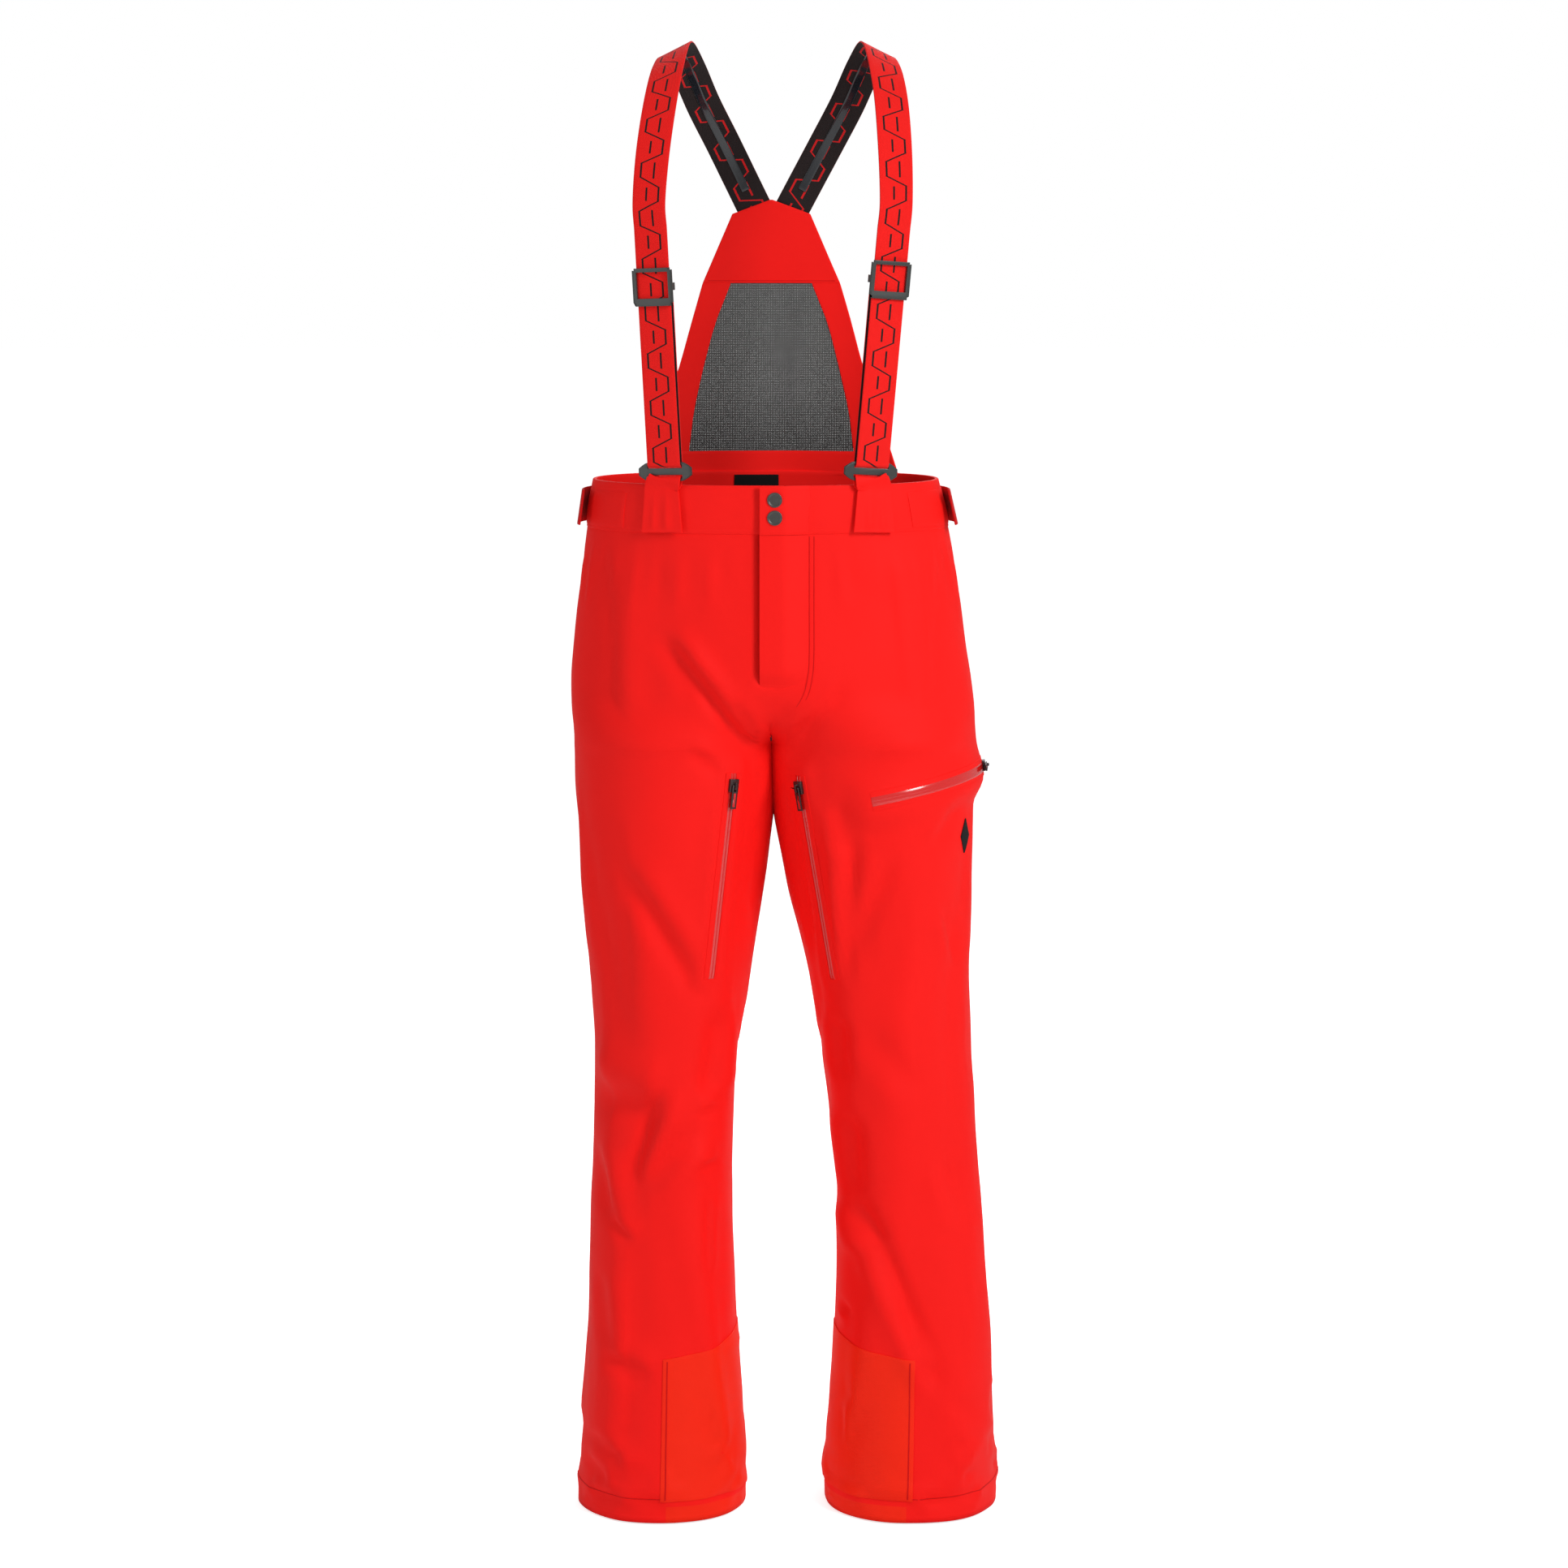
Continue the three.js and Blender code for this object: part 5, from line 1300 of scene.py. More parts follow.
def tape_section(film, groove):
    """Across the tape: how far from the middle, and what share of the film's height."""
    half = [(TAPE_HALF, 0.05), (film + FILM_SLOPE, 0.12), (film, 0.55), (film - FILM_SLOPE, 0.92),
            (2 * LIP_HALF, 1.0), (LIP_HALF, (1 + groove) / 2)]
    return [(-across, rise) for across, rise in half] + [(0.0, groove)] + half[::-1]


def tape(name, place, node, film, groove):
    """place(along share, across, out) gives a point of the tape."""
    section = tape_section(film, groove)
    shares = np.linspace(0, 1, TAPE_STEPS)
    ends = np.sqrt(np.clip(np.minimum(shares, 1 - shares) / TAPE_END, 0, 1))
    outer = np.array([[place(t, c, RIDGE * h * e) for c, h in section] for t, e in zip(shares, ends)])
    inner = np.array([[place(t, c, -UNDER_TAPE - TAPE_SINK) for c, h in section] for t in shares])
    piece = slab(name, outer, inner, bevel=0)
    finish(piece, ("red_shell", "zip_coating"), node)
    columns = len(section)
    for polygon in piece.data.polygons:
        first = min(v % columns for v in polygon.vertices)
        last = max(v % columns for v in polygon.vertices)
        on_film = 2 <= first and last <= columns - 3 and max(polygon.vertices) < TAPE_STEPS * columns
        polygon.material_index = 1 if on_film else 0


def on_line(line):
    return lambda t, across, out: (line["top"] + line["along"] * t * line["length"]
                                   + line["across"] * across + line["normal"] * out)


def on_arc(t, across, out):
    turn = POCKET["start"] + t * (POCKET["end"] - POCKET["start"])
    radial = POCKET["forward"] * math.cos(turn) + POCKET["sideways"] * math.sin(turn)
    return POCKET["centre"] + radial * (POCKET["radius"] + out) + POCKET["axis"] * across


for word, line in ZIPS.items():
    tape(f"{word}_tape", on_line(line), f"{word}_zip_tape", VENT_FILM, DEEP_GROOVE)
tape("pocket_tape", on_arc, "thigh_pocket_zip_tape", POCKET_FILM, FINE_GROOVE)


# %% Sliders and pulls
PULL_FRAME, PULL_SUNK = 1.7 * MM, 0.2 * MM


def casting(node, bevel):
    """A rounded stand-in for a small CAD piece: its own mesh, merged and bevelled."""
    piece = bpy.data.objects.new(node + "_cast", NODES[node].data.copy())
    bpy.context.scene.collection.objects.link(piece)
    mesh = bmesh.new()
    mesh.from_mesh(piece.data)
    bmesh.ops.remove_doubles(mesh, verts=mesh.verts, dist=0.01 * MM)
    bmesh.ops.dissolve_limit(mesh, angle_limit=math.radians(1), verts=mesh.verts, edges=mesh.edges)
    mesh.to_mesh(piece.data)
    mesh.free()
    round_edges(piece, bevel, 30)
    soften(piece, 45)
    return piece


def color_insert(pull):
    """The two broad faces of a pull are sunk a little and hold a red insert in the dark frame."""
    only(pull)
    largest = max(polygon.area for polygon in pull.data.polygons)
    bpy.ops.object.mode_set(mode="EDIT")
    mesh = edit_mesh()
    bpy.ops.mesh.select_all(action="DESELECT")
    for face in mesh.faces:
        face.select = face.calc_area() > 0.6 * largest
    bmesh.update_edit_mesh(pull.data)
    bpy.ops.mesh.inset(thickness=PULL_FRAME, depth=-PULL_SUNK)
    for face in edit_mesh().faces:
        face.material_index = 1 if face.select else 0
    bmesh.update_edit_mesh(pull.data)
    bpy.ops.object.mode_set(mode="OBJECT")


for word in ("right_vent", "left_vent", "fly", "thigh_pocket"):
    finish(casting(f"{word}_zip_slider", 0.35 * MM), "zip_slider", f"{word}_zip_slider")
    pull = casting(f"{word}_zip_pull", 0.3 * MM)
    finish(pull, ("pull_tab", "pull_insert"), f"{word}_zip_pull")
    color_insert(pull)

# %% [markdown]
# ## Hems, guards, patch and gaiters
# Tough scuff guards are sewn over the inner ankles, and the left thigh has a small plain patch. They lie on
# the finished cloth and follow its folds, so they are slabs over the cloth's own grid. Inside each leg a
# thin gaiter narrows to an elastic cuff. It hangs free of the folds, so it follows the smooth leg instead.

# %% Scuff guards
GUARD_DROP = 20 * MM   # its top edge falls this much towards both sides
GUARD_HALF, STITCH_AT = 0.5, 0.485     # turns from the inseam
GUARD_THICK, GUARD_LIFT = 0.9 * MM, 0.15 * MM
STITCH_INSET = 2.5 * MM


def guard(side):
    low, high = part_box(f"{WORD[side]}_scuff_guard")
    columns = np.linspace(-GUARD_HALF, GUARD_HALF, 60)
    top = lambda u, share: high.z - GUARD_DROP * np.abs(u) / GUARD_HALF
    piece = cloth_strip(f"{WORD[side]}_guard", ON_CLOTH[side], columns, np.linspace(0, 1, 34), low.z, top,
                        GUARD_LIFT, GUARD_THICK, bevel=0.35 * MM)
    finish(piece, "scuff_fabric", f"{WORD[side]}_scuff_guard")


def guard_stitches(side):
    """One row of stitches down each upright edge of the guard."""
    low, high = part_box(f"{WORD[side]}_scuff_guard")
    lift = GUARD_LIFT + GUARD_THICK - THREAD / 2
    top = high.z - GUARD_DROP - STITCH_INSET
    for number, u in enumerate((-STITCH_AT, STITCH_AT)):
        columns = u + np.linspace(-0.002, 0.002, 3)
        row = cloth_strip(f"{WORD[side]}_guard_stitch_{number}", ON_CLOTH[side], columns,
                          np.linspace(0, 1, 60), low.z + STITCH_INSET, top, lift, THREAD, bevel=0)
        ride_along(row, "thread", f"{WORD[side]}_scuff_guard")


def hem_stitches(side):
    """One row of stitches round the hem."""
    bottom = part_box(f"{WORD[side]}_scuff_guard")[0].z + STITCH_INSET
    ring = cloth_strip(f"{WORD[side]}_hem_stitch", ON_CLOTH[side], np.linspace(0, 2, 161)[:-1],
                       np.linspace(0, 1, 3), bottom, bottom + 1.2 * THREAD, -THREAD / 2 + 0.1 * MM, THREAD,
                       ring=True, bevel=0)
    ride_along(ring, "thread", f"{WORD[side]}_hem_band")


for side in SIDES:
    guard(side)
    guard_stitches(side)
    hem_stitches(side)

# %% Thigh patch
PATCH_TURN, PATCH_HALF = 0.855, 0.030
PATCH_TAPER = 0.92     # how much of the width is gone at both tips
low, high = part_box("thigh_patch")


def on_lozenge(u, z, distance):
    """The patch is a long lozenge: its half width shrinks towards both tips."""
    rise = np.abs(2 * (z - low.z) / (high.z - low.z) - 1)
    return ON_CLOTH[LEFT](PATCH_TURN + PATCH_HALF * u * (1 - PATCH_TAPER * rise), z, distance)


patch = cloth_strip("thigh_patch_cloth", on_lozenge, np.linspace(-1, 1, 9), np.linspace(0, 1, 15),
                    low.z, high.z, 0.2 * MM, 0.6 * MM, bevel=0.2 * MM)
finish(patch, "black_fabric", "thigh_patch")


# %% Gaiters and elastics
GAITER_TAPER = 26 * MM     # how far in the gaiter goes from its top to its elastic
GAITER_IN, GAITER_THICK = 2.8 * MM, 0.9 * MM    # inside the padded cloth
ELASTIC_IN, ELASTIC_THICK = 2.2 * MM, 2.2 * MM
RING = np.linspace(0, 2 * np.pi, 97)[:-1]
PLEATS, PLEAT_DEPTH = 24, 1.1 * MM
RIBS, RIB_DEPTH = 48, 0.4 * MM


def leg_surface(side):
    return over(lambda u, z: shell(side, 0.5 + side * u / np.pi, z), step=0.02)


def gaiter_depth(u, share):
    """The gaiter leans inwards as it goes down, in soft pleats."""
    pleats = PLEAT_DEPTH * np.sin(PLEATS * u) * np.sin(np.pi * np.clip(share, 0.02, 0.98))
    return -(SHELL + GAITER_IN + GAITER_TAPER * share) + pleats * share


def elastic_depth(u, share):
    return -(SHELL + ELASTIC_IN + GAITER_TAPER) + RIB_DEPTH * np.sin(RIBS * u)


def gaiter(side):
    word, surface = WORD[side], leg_surface(side)
    low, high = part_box(f"{word}_snow_gaiter")
    cloth = cloth_strip(f"{word}_gaiter", surface, RING, np.linspace(0, 1, 14), low.z, high.z, gaiter_depth,
                        GAITER_THICK, ring=True, bevel=0)
    finish(cloth, "lining", f"{word}_snow_gaiter")
    low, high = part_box(f"{word}_gaiter_elastic")
    cuff = cloth_strip(f"{word}_elastic", surface, RING, np.linspace(0, 1, 8), low.z, high.z, elastic_depth,
                       ELASTIC_THICK, ring=True, bevel=0.4 * MM)
    finish(cuff, "elastic", f"{word}_gaiter_elastic")


for side in SIDES:
    gaiter(side)

# %% Vent nets and pocket bag
LINER_IN = 9.5 * MM    # nets and bag hang this far inside the padded cloth
NET_TURNS = np.linspace(0.2, 0.5, 14) - 0.5
NET_THICK, BAG_THICK, BAG_BULGE = 0.8 * MM, 1.6 * MM, 1.5 * MM


def net_depth(u, share):
    return -SHELL - LINER_IN + 0.5 * MM * np.sin(40 * u)


def bag_depth(u, share):
    return -SHELL - LINER_IN - BAG_BULGE * np.sin(np.pi * share)


for side in SIDES:
    low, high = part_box(f"{WORD[side]}_vent_net")
    flat = over(lambda u, z, side=side: shell(side, 0.5 + side * u, z))
    net = cloth_strip(f"{WORD[side]}_backing_net", flat, np.sort(side * NET_TURNS), np.linspace(0, 1, 16),
                      low.z, high.z, net_depth, NET_THICK, bevel=0)
    finish(net, "grey_net", f"{WORD[side]}_vent_net")

low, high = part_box("thigh_pocket_bag")
bag = cloth_strip("pocket_bag_cloth", over(lambda u, z: shell(LEFT, u, z)), np.linspace(0.6, 0.9, 16),
                  np.linspace(0, 1, 16), low.z, high.z, bag_depth, BAG_THICK, bevel=0.5 * MM)
finish(bag, "lining", "thigh_pocket_bag")

# %% [markdown]
# ## Shoulder straps
# One length of webbing runs from the yoke over the shoulder, down to the hook, round its bar and back up to
# the sliding adjuster. It is woven in two colours, so its inner face shows the same line reversed. A bevelled
# curve would make a ribbon too, but here each row carries its own direction across, as the strap twists.

# %% Strap frames and routes
STRAP_TURN = math.radians(24)
STRAP_WIDTH, STRAP_THICK = 38 * MM, 1.8 * MM
TURN_RADIUS = 3.2 * MM
STRAIGHT_TOP = 0.300   # height up to which a strap is straight
HOOK_BAR = 3 * MM
# x, y and z in millimetres and the direction across the strap, from the chest to the yoke
ROUTES = {
    RIGHT: [(-124, -104, 352, 0.9, -0.3, 0.1), (-116, -76, 408, 0.9, -0.15, 0.3),
            (-108, -38, 446, 0.89, 0, 0.42),
            (-101, 4, 459, 0.89, 0, 0.45), (-90, 48, 440, 0.9, 0, 0.44), (-74, 84, 402, 0.9, 0, 0.44),
            (-53, 107, 360, 0.9, 0, 0.44), (-32, 118.2, 317, 0.9, 0, 0.44),
            (-17, 119.4, 286.5, 0.9, 0, 0.44)],
    LEFT: [(131, -104, 352, 0.9, 0.3, -0.1), (127, -76, 408, 0.9, 0.15, -0.3),
           (120, -38, 446, 0.89, 0, -0.42),
           (112, 4, 459, 0.89, 0, -0.45), (100, 48, 440, 0.88, 0, -0.46), (83, 84, 402, 0.88, 0, -0.47),
           (61, 107, 360, 0.88, 0, -0.47), (38, 118.2, 317, 0.88, 0, -0.47),
           (22, 119.4, 287, 0.88, 0, -0.47)],
}


def strap_frame(side):
    low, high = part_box(f"{WORD[side]}_strap_hook")
    up = unit(np.array(JOINTS[f"{WORD[side]}_strap_adjuster_travel"]["axis"]))
    across = np.array([math.cos(STRAP_TURN), side * math.sin(STRAP_TURN), 0])
    across = unit(across - up * (across @ up))
    return {"foot": np.array((low + high) / 2), "up": up, "across": across, "normal": np.cross(across, up)}


def on_strap(place, across, out, up):
    return place["foot"] + place["across"] * across + place["normal"] * out + place["up"] * up


def stations(route):
    """Rows of x, y, z and the across direction."""
    return np.array([[*at, *across] for at, across in route])


def ribbon(name, route, width, thickness, columns=7, wave=None, bevel=0.3 * MM, lift=0.0):
    """A flat strip along rows of x, y, z and across; width is a number or one for each row."""
    at, across = route[:, :3], route[:, 3:6]
    along = unit(np.gradient(at, axis=0))
    across = unit(across - along * (across * along).sum(axis=1, keepdims=True))
    normal = np.cross(across, along)
    place = np.linspace(-0.5, 0.5, columns)
    width = np.broadcast_to(np.asarray(width, float), (len(at),))
    length = np.concatenate([[0], np.cumsum(np.linalg.norm(np.diff(at, axis=0), axis=1))])
    share = np.linspace(0, 1, len(at))
    swell = wave(share[:, None], place[None, :]) if wave else np.zeros((len(at), columns))
    middle = at[:, None] + across[:, None] * (place[None, :, None] * width[:, None, None])
    middle = middle + normal[:, None] * (swell + lift)[..., None]
    outer = middle + normal[:, None] * (thickness / 2)
    inner = middle - normal[:, None] * (thickness / 2)
    sizes = [[(float(place[c] * width[r]), float(length[r])) for c in range(columns)] for r in range(len(at))]
    return slab(name, outer, inner, bevel=bevel, sizes=sizes)


def half_turn(place, bar, way):
    """Round a bar: way is 1 to pass under it and -1 to pass over it."""
    rows = []
    for angle in np.linspace(0, math.pi, 13):
        out, up = TURN_RADIUS * math.cos(angle), bar - way * TURN_RADIUS * math.sin(angle)
        rows.append((on_strap(place, 0, out, up), place["across"]))
    return rows


def straight_run(place, out, start, end):
    """Along the straight part of a strap, at a distance out of its middle plane."""
    return [(on_strap(place, 0, out, up), place["across"]) for up in np.linspace(start, end, 8)]


FRAMES = {side: strap_frame(side) for side in SIDES}
HOOK_MIDDLE = float(FRAMES[RIGHT]["foot"][2])
HOOK_TALL = 20 * MM
TOP_BAR = HOOK_TALL / 2 - HOOK_BAR / 2


STRAIGHT_END = STRAIGHT_TOP - HOOK_MIDDLE
LEAD_IN = 30 * MM      # of the straight part that the curved route starts with


def shoulder_route(side):
    place = FRAMES[side]
    heights = (STRAIGHT_END - LEAD_IN, STRAIGHT_END)
    first = [(on_strap(place, 0, TURN_RADIUS, up), place["across"]) for up in heights]
    rest = [(np.array(row[:3]) * MM, unit(np.array(row[3:]))) for row in ROUTES[side]]
    return spline(stations(first + rest), 120)


for side in SIDES:
    run = np.diff(shoulder_route(side)[:, :3], axis=0)
    print(f"{WORD[side]} strap over the shoulder: {np.linalg.norm(run, axis=1).sum():.3f} m")

# %% Webbing
SPLICE = 36 * MM       # the straight run starts this far below the straight part's end
OFF_BAR = 4 * MM       # and both runs end this far from the hook's bar
RED_FACE, BLACK_FACE, SELVEDGE = 0, 1, 2


def two_faced(piece, route):
    """The faces and edges have materials of their own. The route's normal points inwards."""
    at, across = route[:, :3], route[:, 3:6]
    along = unit(np.gradient(at, axis=0))
    normal = np.cross(unit(across), along)
    for polygon in piece.data.polygons:
        nearest = np.argmin(((at - np.array(polygon.center)) ** 2).sum(axis=1))
        facing_in = float(np.array(polygon.normal) @ normal[nearest])
        polygon.material_index = SELVEDGE
        if abs(facing_in) > 0.5:
            polygon.material_index = BLACK_FACE if facing_in > 0 else RED_FACE


def strap(side):
    place = FRAMES[side]
    low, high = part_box(f"{WORD[side]}_strap_adjuster")
    adjuster_height = float((low.z + high.z) / 2) - HOOK_MIDDLE
    foot = TOP_BAR + OFF_BAR
    over_shoulder = shoulder_route(side)[::-1]
    front = spline(stations(straight_run(place, TURN_RADIUS, STRAIGHT_END - SPLICE, foot)), 60)
    turn = stations(half_turn(place, TOP_BAR, 1))
    back = spline(stations(straight_run(place, -TURN_RADIUS, foot, adjuster_height)), 40)
    route = np.vstack([over_shoulder, front, turn, back])
    piece = ribbon(f"{WORD[side]}_webbing", route, STRAP_WIDTH, STRAP_THICK, columns=9)
    finish(piece, ("red_webbing", "webbing_inside", "webbing_edge"), f"{WORD[side]}_shoulder_strap")
    two_faced(piece, route)


for side in SIDES:
    strap(side)

# %% Grip strips
GRIP_WIDTH, GRIP_THICK = 9 * MM, 0.8 * MM
GRIP_START, GRIP_STOP = 58, -6    # rows of the shoulder route


def grip(side):
    """A strip of silicone on the inner face, where the strap lies on the shoulder."""
    route = shoulder_route(side)[GRIP_START:GRIP_STOP]
    piece = ribbon(f"{WORD[side]}_grip", route, GRIP_WIDTH, GRIP_THICK, columns=5,
                   lift=-(STRAP_THICK + GRIP_THICK) / 2)
    finish(piece, "grip_silicone", f"{WORD[side]}_strap_grip")


for side in SIDES:
    grip(side)

# %% [markdown]
# ## Hooks and adjusters
# Both are moulded from dark plastic. Slots could be cut from a block with booleans, but those leave ragged
# faces that bevel badly. Here a plate starts as a flat grid whose lines are moved to the bars and slots. The
# slot faces are deleted, the rest is extruded, and the edges are bevelled.


# %% Plates
def plate(name, xs, ys, is_open, thickness, bevel, bend=None):
    bpy.ops.object.select_all(action="DESELECT")
    bpy.ops.mesh.primitive_grid_add(x_subdivisions=len(xs) - 1, y_subdivisions=len(ys) - 1, size=1)
    piece = bpy.context.active_object
    piece.name = name
    for axis, lines in ((0, xs), (1, ys)):
        places = sorted({round(v.co[axis], 5) for v in piece.data.vertices})
        moved = dict(zip(places, lines))
        for vertex in piece.data.vertices:
            vertex.co[axis] = moved[round(vertex.co[axis], 5)]
    bpy.ops.object.mode_set(mode="EDIT")
    mesh = edit_mesh()
    bpy.ops.mesh.select_all(action="DESELECT")
    for face in mesh.faces:
        centre = face.calc_center_median()
        face.select = is_open(centre.x, centre.y)
    bmesh.update_edit_mesh(piece.data)
    bpy.ops.mesh.delete(type="FACE")
    bpy.ops.mesh.select_all(action="SELECT")
    bpy.ops.mesh.extrude_region_move(TRANSFORM_OT_translate={"value": (0, 0, thickness)})
    bpy.ops.mesh.select_all(action="SELECT")
    bpy.ops.mesh.normals_make_consistent(inside=False)
    bpy.ops.object.mode_set(mode="OBJECT")
    if bend:
        for vertex in piece.data.vertices:
            vertex.co = bend(vertex.co)
    round_edges(piece, bevel, 40, segments=3)
    soften(piece, 45)
    return piece


# %% Strap hooks
HOOK_WIDTH, HOOK_WINDOW, HOOK_SLOT, HOOK_THICK = 62 * MM, 40 * MM, 3.4 * MM, 3 * MM
HOOK_RIM = 4 * MM      # lines near both ends, which shape the rounding
HOOK_END, HOOK_CURVE = 0.62, 1.4    # how much of the height is gone at the ends, and how suddenly


def hook(side):
    """A plate with a slot for the webbing above and one for the fabric loop below."""
    half, tall, window = HOOK_WIDTH / 2, HOOK_TALL / 2, HOOK_WINDOW / 2
    ends = [window, half - 2 * HOOK_RIM, half - HOOK_RIM, half]
    xs = [-x for x in reversed(ends)] + [0] + ends
    rim, slot_end = tall - HOOK_BAR, tall - HOOK_BAR - HOOK_SLOT
    ys = [-tall, -rim, -slot_end, slot_end, rim, tall]
    is_open = lambda x, y: abs(x) < window and slot_end < abs(y) < rim

    def bend(co):
        end = max(0.0, (abs(co.x) - window) / (half - window))
        co.y *= 1 - HOOK_END * end ** HOOK_CURVE
        return co

    piece = plate(f"{WORD[side]}_hook", xs, ys, is_open, HOOK_THICK, 0.6 * MM, bend)
    place = FRAMES[side]
    origin = on_strap(place, 0, -HOOK_THICK / 2, 0)
    put(piece, basis(place["across"], place["up"], place["normal"], origin))
    finish(piece, "dark_plastic", f"{WORD[side]}_strap_hook")


for side in SIDES:
    hook(side)

# %% Strap adjusters
GLIDE_WIDTH, GLIDE_HEIGHT, GLIDE_THICK = 46 * MM, 40 * MM, 2.6 * MM
GLIDE_RAIL, GLIDE_TOP, GLIDE_FOOT = 4.6 * MM, 4.2 * MM, 8 * MM
GLIDE_CORNER = 0.88    # the corners are drawn in to this share
GLIDE_BOW = 1.6 * MM   # the top and foot bow forward in the middle
CENTRE_BAR, BAR_THICK, CHEEK = 8 * MM, 4.4 * MM, 0.4 * MM
GLIDE_CLEAR, CHEEK_LAP = 0.3 * MM, 0.5 * MM
RING_OUT = STRAP_THICK / 2 + GLIDE_CLEAR
BAR_OUT = -2 * TURN_RADIUS + STRAP_THICK / 2 + GLIDE_CLEAR


def adjuster_ring(name):
    half, tall = GLIDE_WIDTH / 2, GLIDE_HEIGHT / 2
    window = half - GLIDE_RAIL
    xs = [-half, -half + GLIDE_RAIL / 2, -window, window, half - GLIDE_RAIL / 2, half]
    ys = [-tall, -tall + GLIDE_FOOT / 2, -tall + GLIDE_FOOT, tall - GLIDE_TOP, tall - GLIDE_TOP / 2, tall]
    is_open = lambda x, y: abs(x) < window and -tall + GLIDE_FOOT < y < tall - GLIDE_TOP

    def bend(co):
        if abs(co.x) > half - CHEEK and abs(co.y) > tall - CHEEK:
            co.x, co.y = co.x * GLIDE_CORNER, co.y * GLIDE_CORNER
        co.z += GLIDE_BOW * (1 - (co.x / half) ** 2) * (abs(co.y) / tall) ** 2
        return co

    return plate(name, xs, ys, is_open, GLIDE_THICK, 0.9 * MM, bend)


def adjuster_bar(name):
    """The bar behind the webbing, with a cheek at each end that reaches forward to the ring."""
    window = GLIDE_WIDTH / 2 - GLIDE_RAIL
    end = GLIDE_WIDTH / 2 - CHEEK_LAP
    xs = [-end, -window - CHEEK, -window, window, window + CHEEK, end]

    def cheeks(co):
        if abs(co.x) > window + CHEEK / 2 and co.z > BAR_THICK / 2:
            co.z = RING_OUT - BAR_OUT + CHEEK_LAP
        return co

    return plate(name, xs, [-CENTRE_BAR / 2, CENTRE_BAR / 2], lambda x, y: False, BAR_THICK, 0.4 * MM, cheeks)


def adjuster(side):
    place = FRAMES[side]
    low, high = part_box(f"{WORD[side]}_strap_adjuster")
    height = (float((low.z + high.z) / 2) - HOOK_MIDDLE) / place["up"][2]
    ring = adjuster_ring(f"{WORD[side]}_glide")
    bar = adjuster_bar(f"{WORD[side]}_glide_bar")
    for piece, out in ((ring, RING_OUT), (bar, BAR_OUT)):
        origin = on_strap(place, 0, TURN_RADIUS + out, height)
        put(piece, basis(place["across"], place["up"], place["normal"], origin))
    only(ring)
    bar.select_set(True)
    bpy.ops.object.join()
    finish(ring, "dark_plastic", f"{WORD[side]}_strap_adjuster")


for side in SIDES:
    adjuster(side)

# %% [markdown]
# ## Fabric loops that hold the hooks
# Each loop is folded round the hook's lower bar and sewn flat to the waistband. It flares downwards, and the
# gathered cloth stands in soft upright folds.


# %% Hook loops
LOOP_TOP, LOOP_BOTTOM, LOOP_THICK, LOOP_CLEAR = 36 * MM, 47 * MM, 1.4 * MM, 0.6 * MM
LOOP_LAYERS = 0.9 * MM    # between its two layers
OVER_BAND_FACE = 1.3 * MM
FRONT_TOP = -4 * MM    # the loop leaves the band here to go round the hook's bar
BACK_HEIGHTS = (-4 * MM, -16 * MM, -29 * MM)
BIG_FOLD, SMALL_FOLD = (1.6 * MM, 0.12, 0.10), (1.1 * MM, -0.22, 0.07)    # height, place, width
FOLDS_END, FOLDS_GROW, FOLDS_START = 0.46, 0.3, 0.08    # shares of the loop's length


def on_band(x, layer, z):
    """A place on the waistband for one of the loop's two layers, and the direction across it."""
    turn = float(trunk_turn(x, z))
    lift = BAND_LIFT + OVER_BAND_FACE + LOOP_CLEAR + LOOP_THICK / 2 + layer * (LOOP_THICK + LOOP_LAYERS)
    out = unit(over_trunk(turn, z, 1.0) - over_trunk(turn, z, 0.0))
    return over_trunk(turn, z, lift), np.array([-out[1], out[0], 0.0])


def loop_rows(side):
    """Up the front layer from its seam, over the hook's lower bar and down the back layer."""
    place = FRAMES[side]
    x = float(place["foot"][0]) + side * 2 * MM
    front_heights = [BAND_LOW + 1.5 * MM] + [BAND_LOW * share for share in (0.75, 0.5, 0.25)] + [FRONT_TOP]
    front = [on_band(x, 1, z) for z in front_heights]
    back = [on_band(x, 0, z) for z in BACK_HEIGHTS]
    return spline(stations(front + half_turn(place, -TOP_BAR, -1)[::3] + back), 70)


def hook_loop(side):
    rows = loop_rows(side)
    height = np.clip((rows[:, 2] - BAND_LOW) / (HOOK_MIDDLE - BAND_LOW), 0, 1)
    in_front = np.linspace(0, 1, len(rows)) < 0.5
    width = np.where(in_front, blend_to(LOOP_BOTTOM, LOOP_TOP, height), LOOP_TOP)

    def folds(along, across):
        depth = np.clip((FOLDS_END - along) / FOLDS_GROW, 0, 1) * np.clip(along / FOLDS_START, 0, 1)
        rise = 0
        for tall, middle, wide in (BIG_FOLD, SMALL_FOLD):
            rise = rise + tall * np.exp(-((across + middle * side) / wide) ** 2)
        return depth * rise

    piece = ribbon(f"{WORD[side]}_loop", rows, width, LOOP_THICK, columns=21, wave=folds, bevel=0.4 * MM)
    finish(piece, "red_shell", f"{WORD[side]}_hook_loop")


for side in SIDES:
    hook_loop(side)

# %% [markdown]
# ## Back panel
# A yoke carries both straps. Borders join it to the waistband round a net that lets heat out. All of them
# are slabs over one surface with the same slow waves, so that their seams stay closed.

# %% The back's surface and outline
BACK_FLAT, BACK_BOW = 0.118, 1.2    # the yoke's depth in the middle, and how it bows round the back
NET_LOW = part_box("back_net")[0].z
SEAM_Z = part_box("back_yoke")[0].z
TIP_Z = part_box("back_yoke")[1].z
BORDER_CORNERS = 6     # a row of a border has at least this many


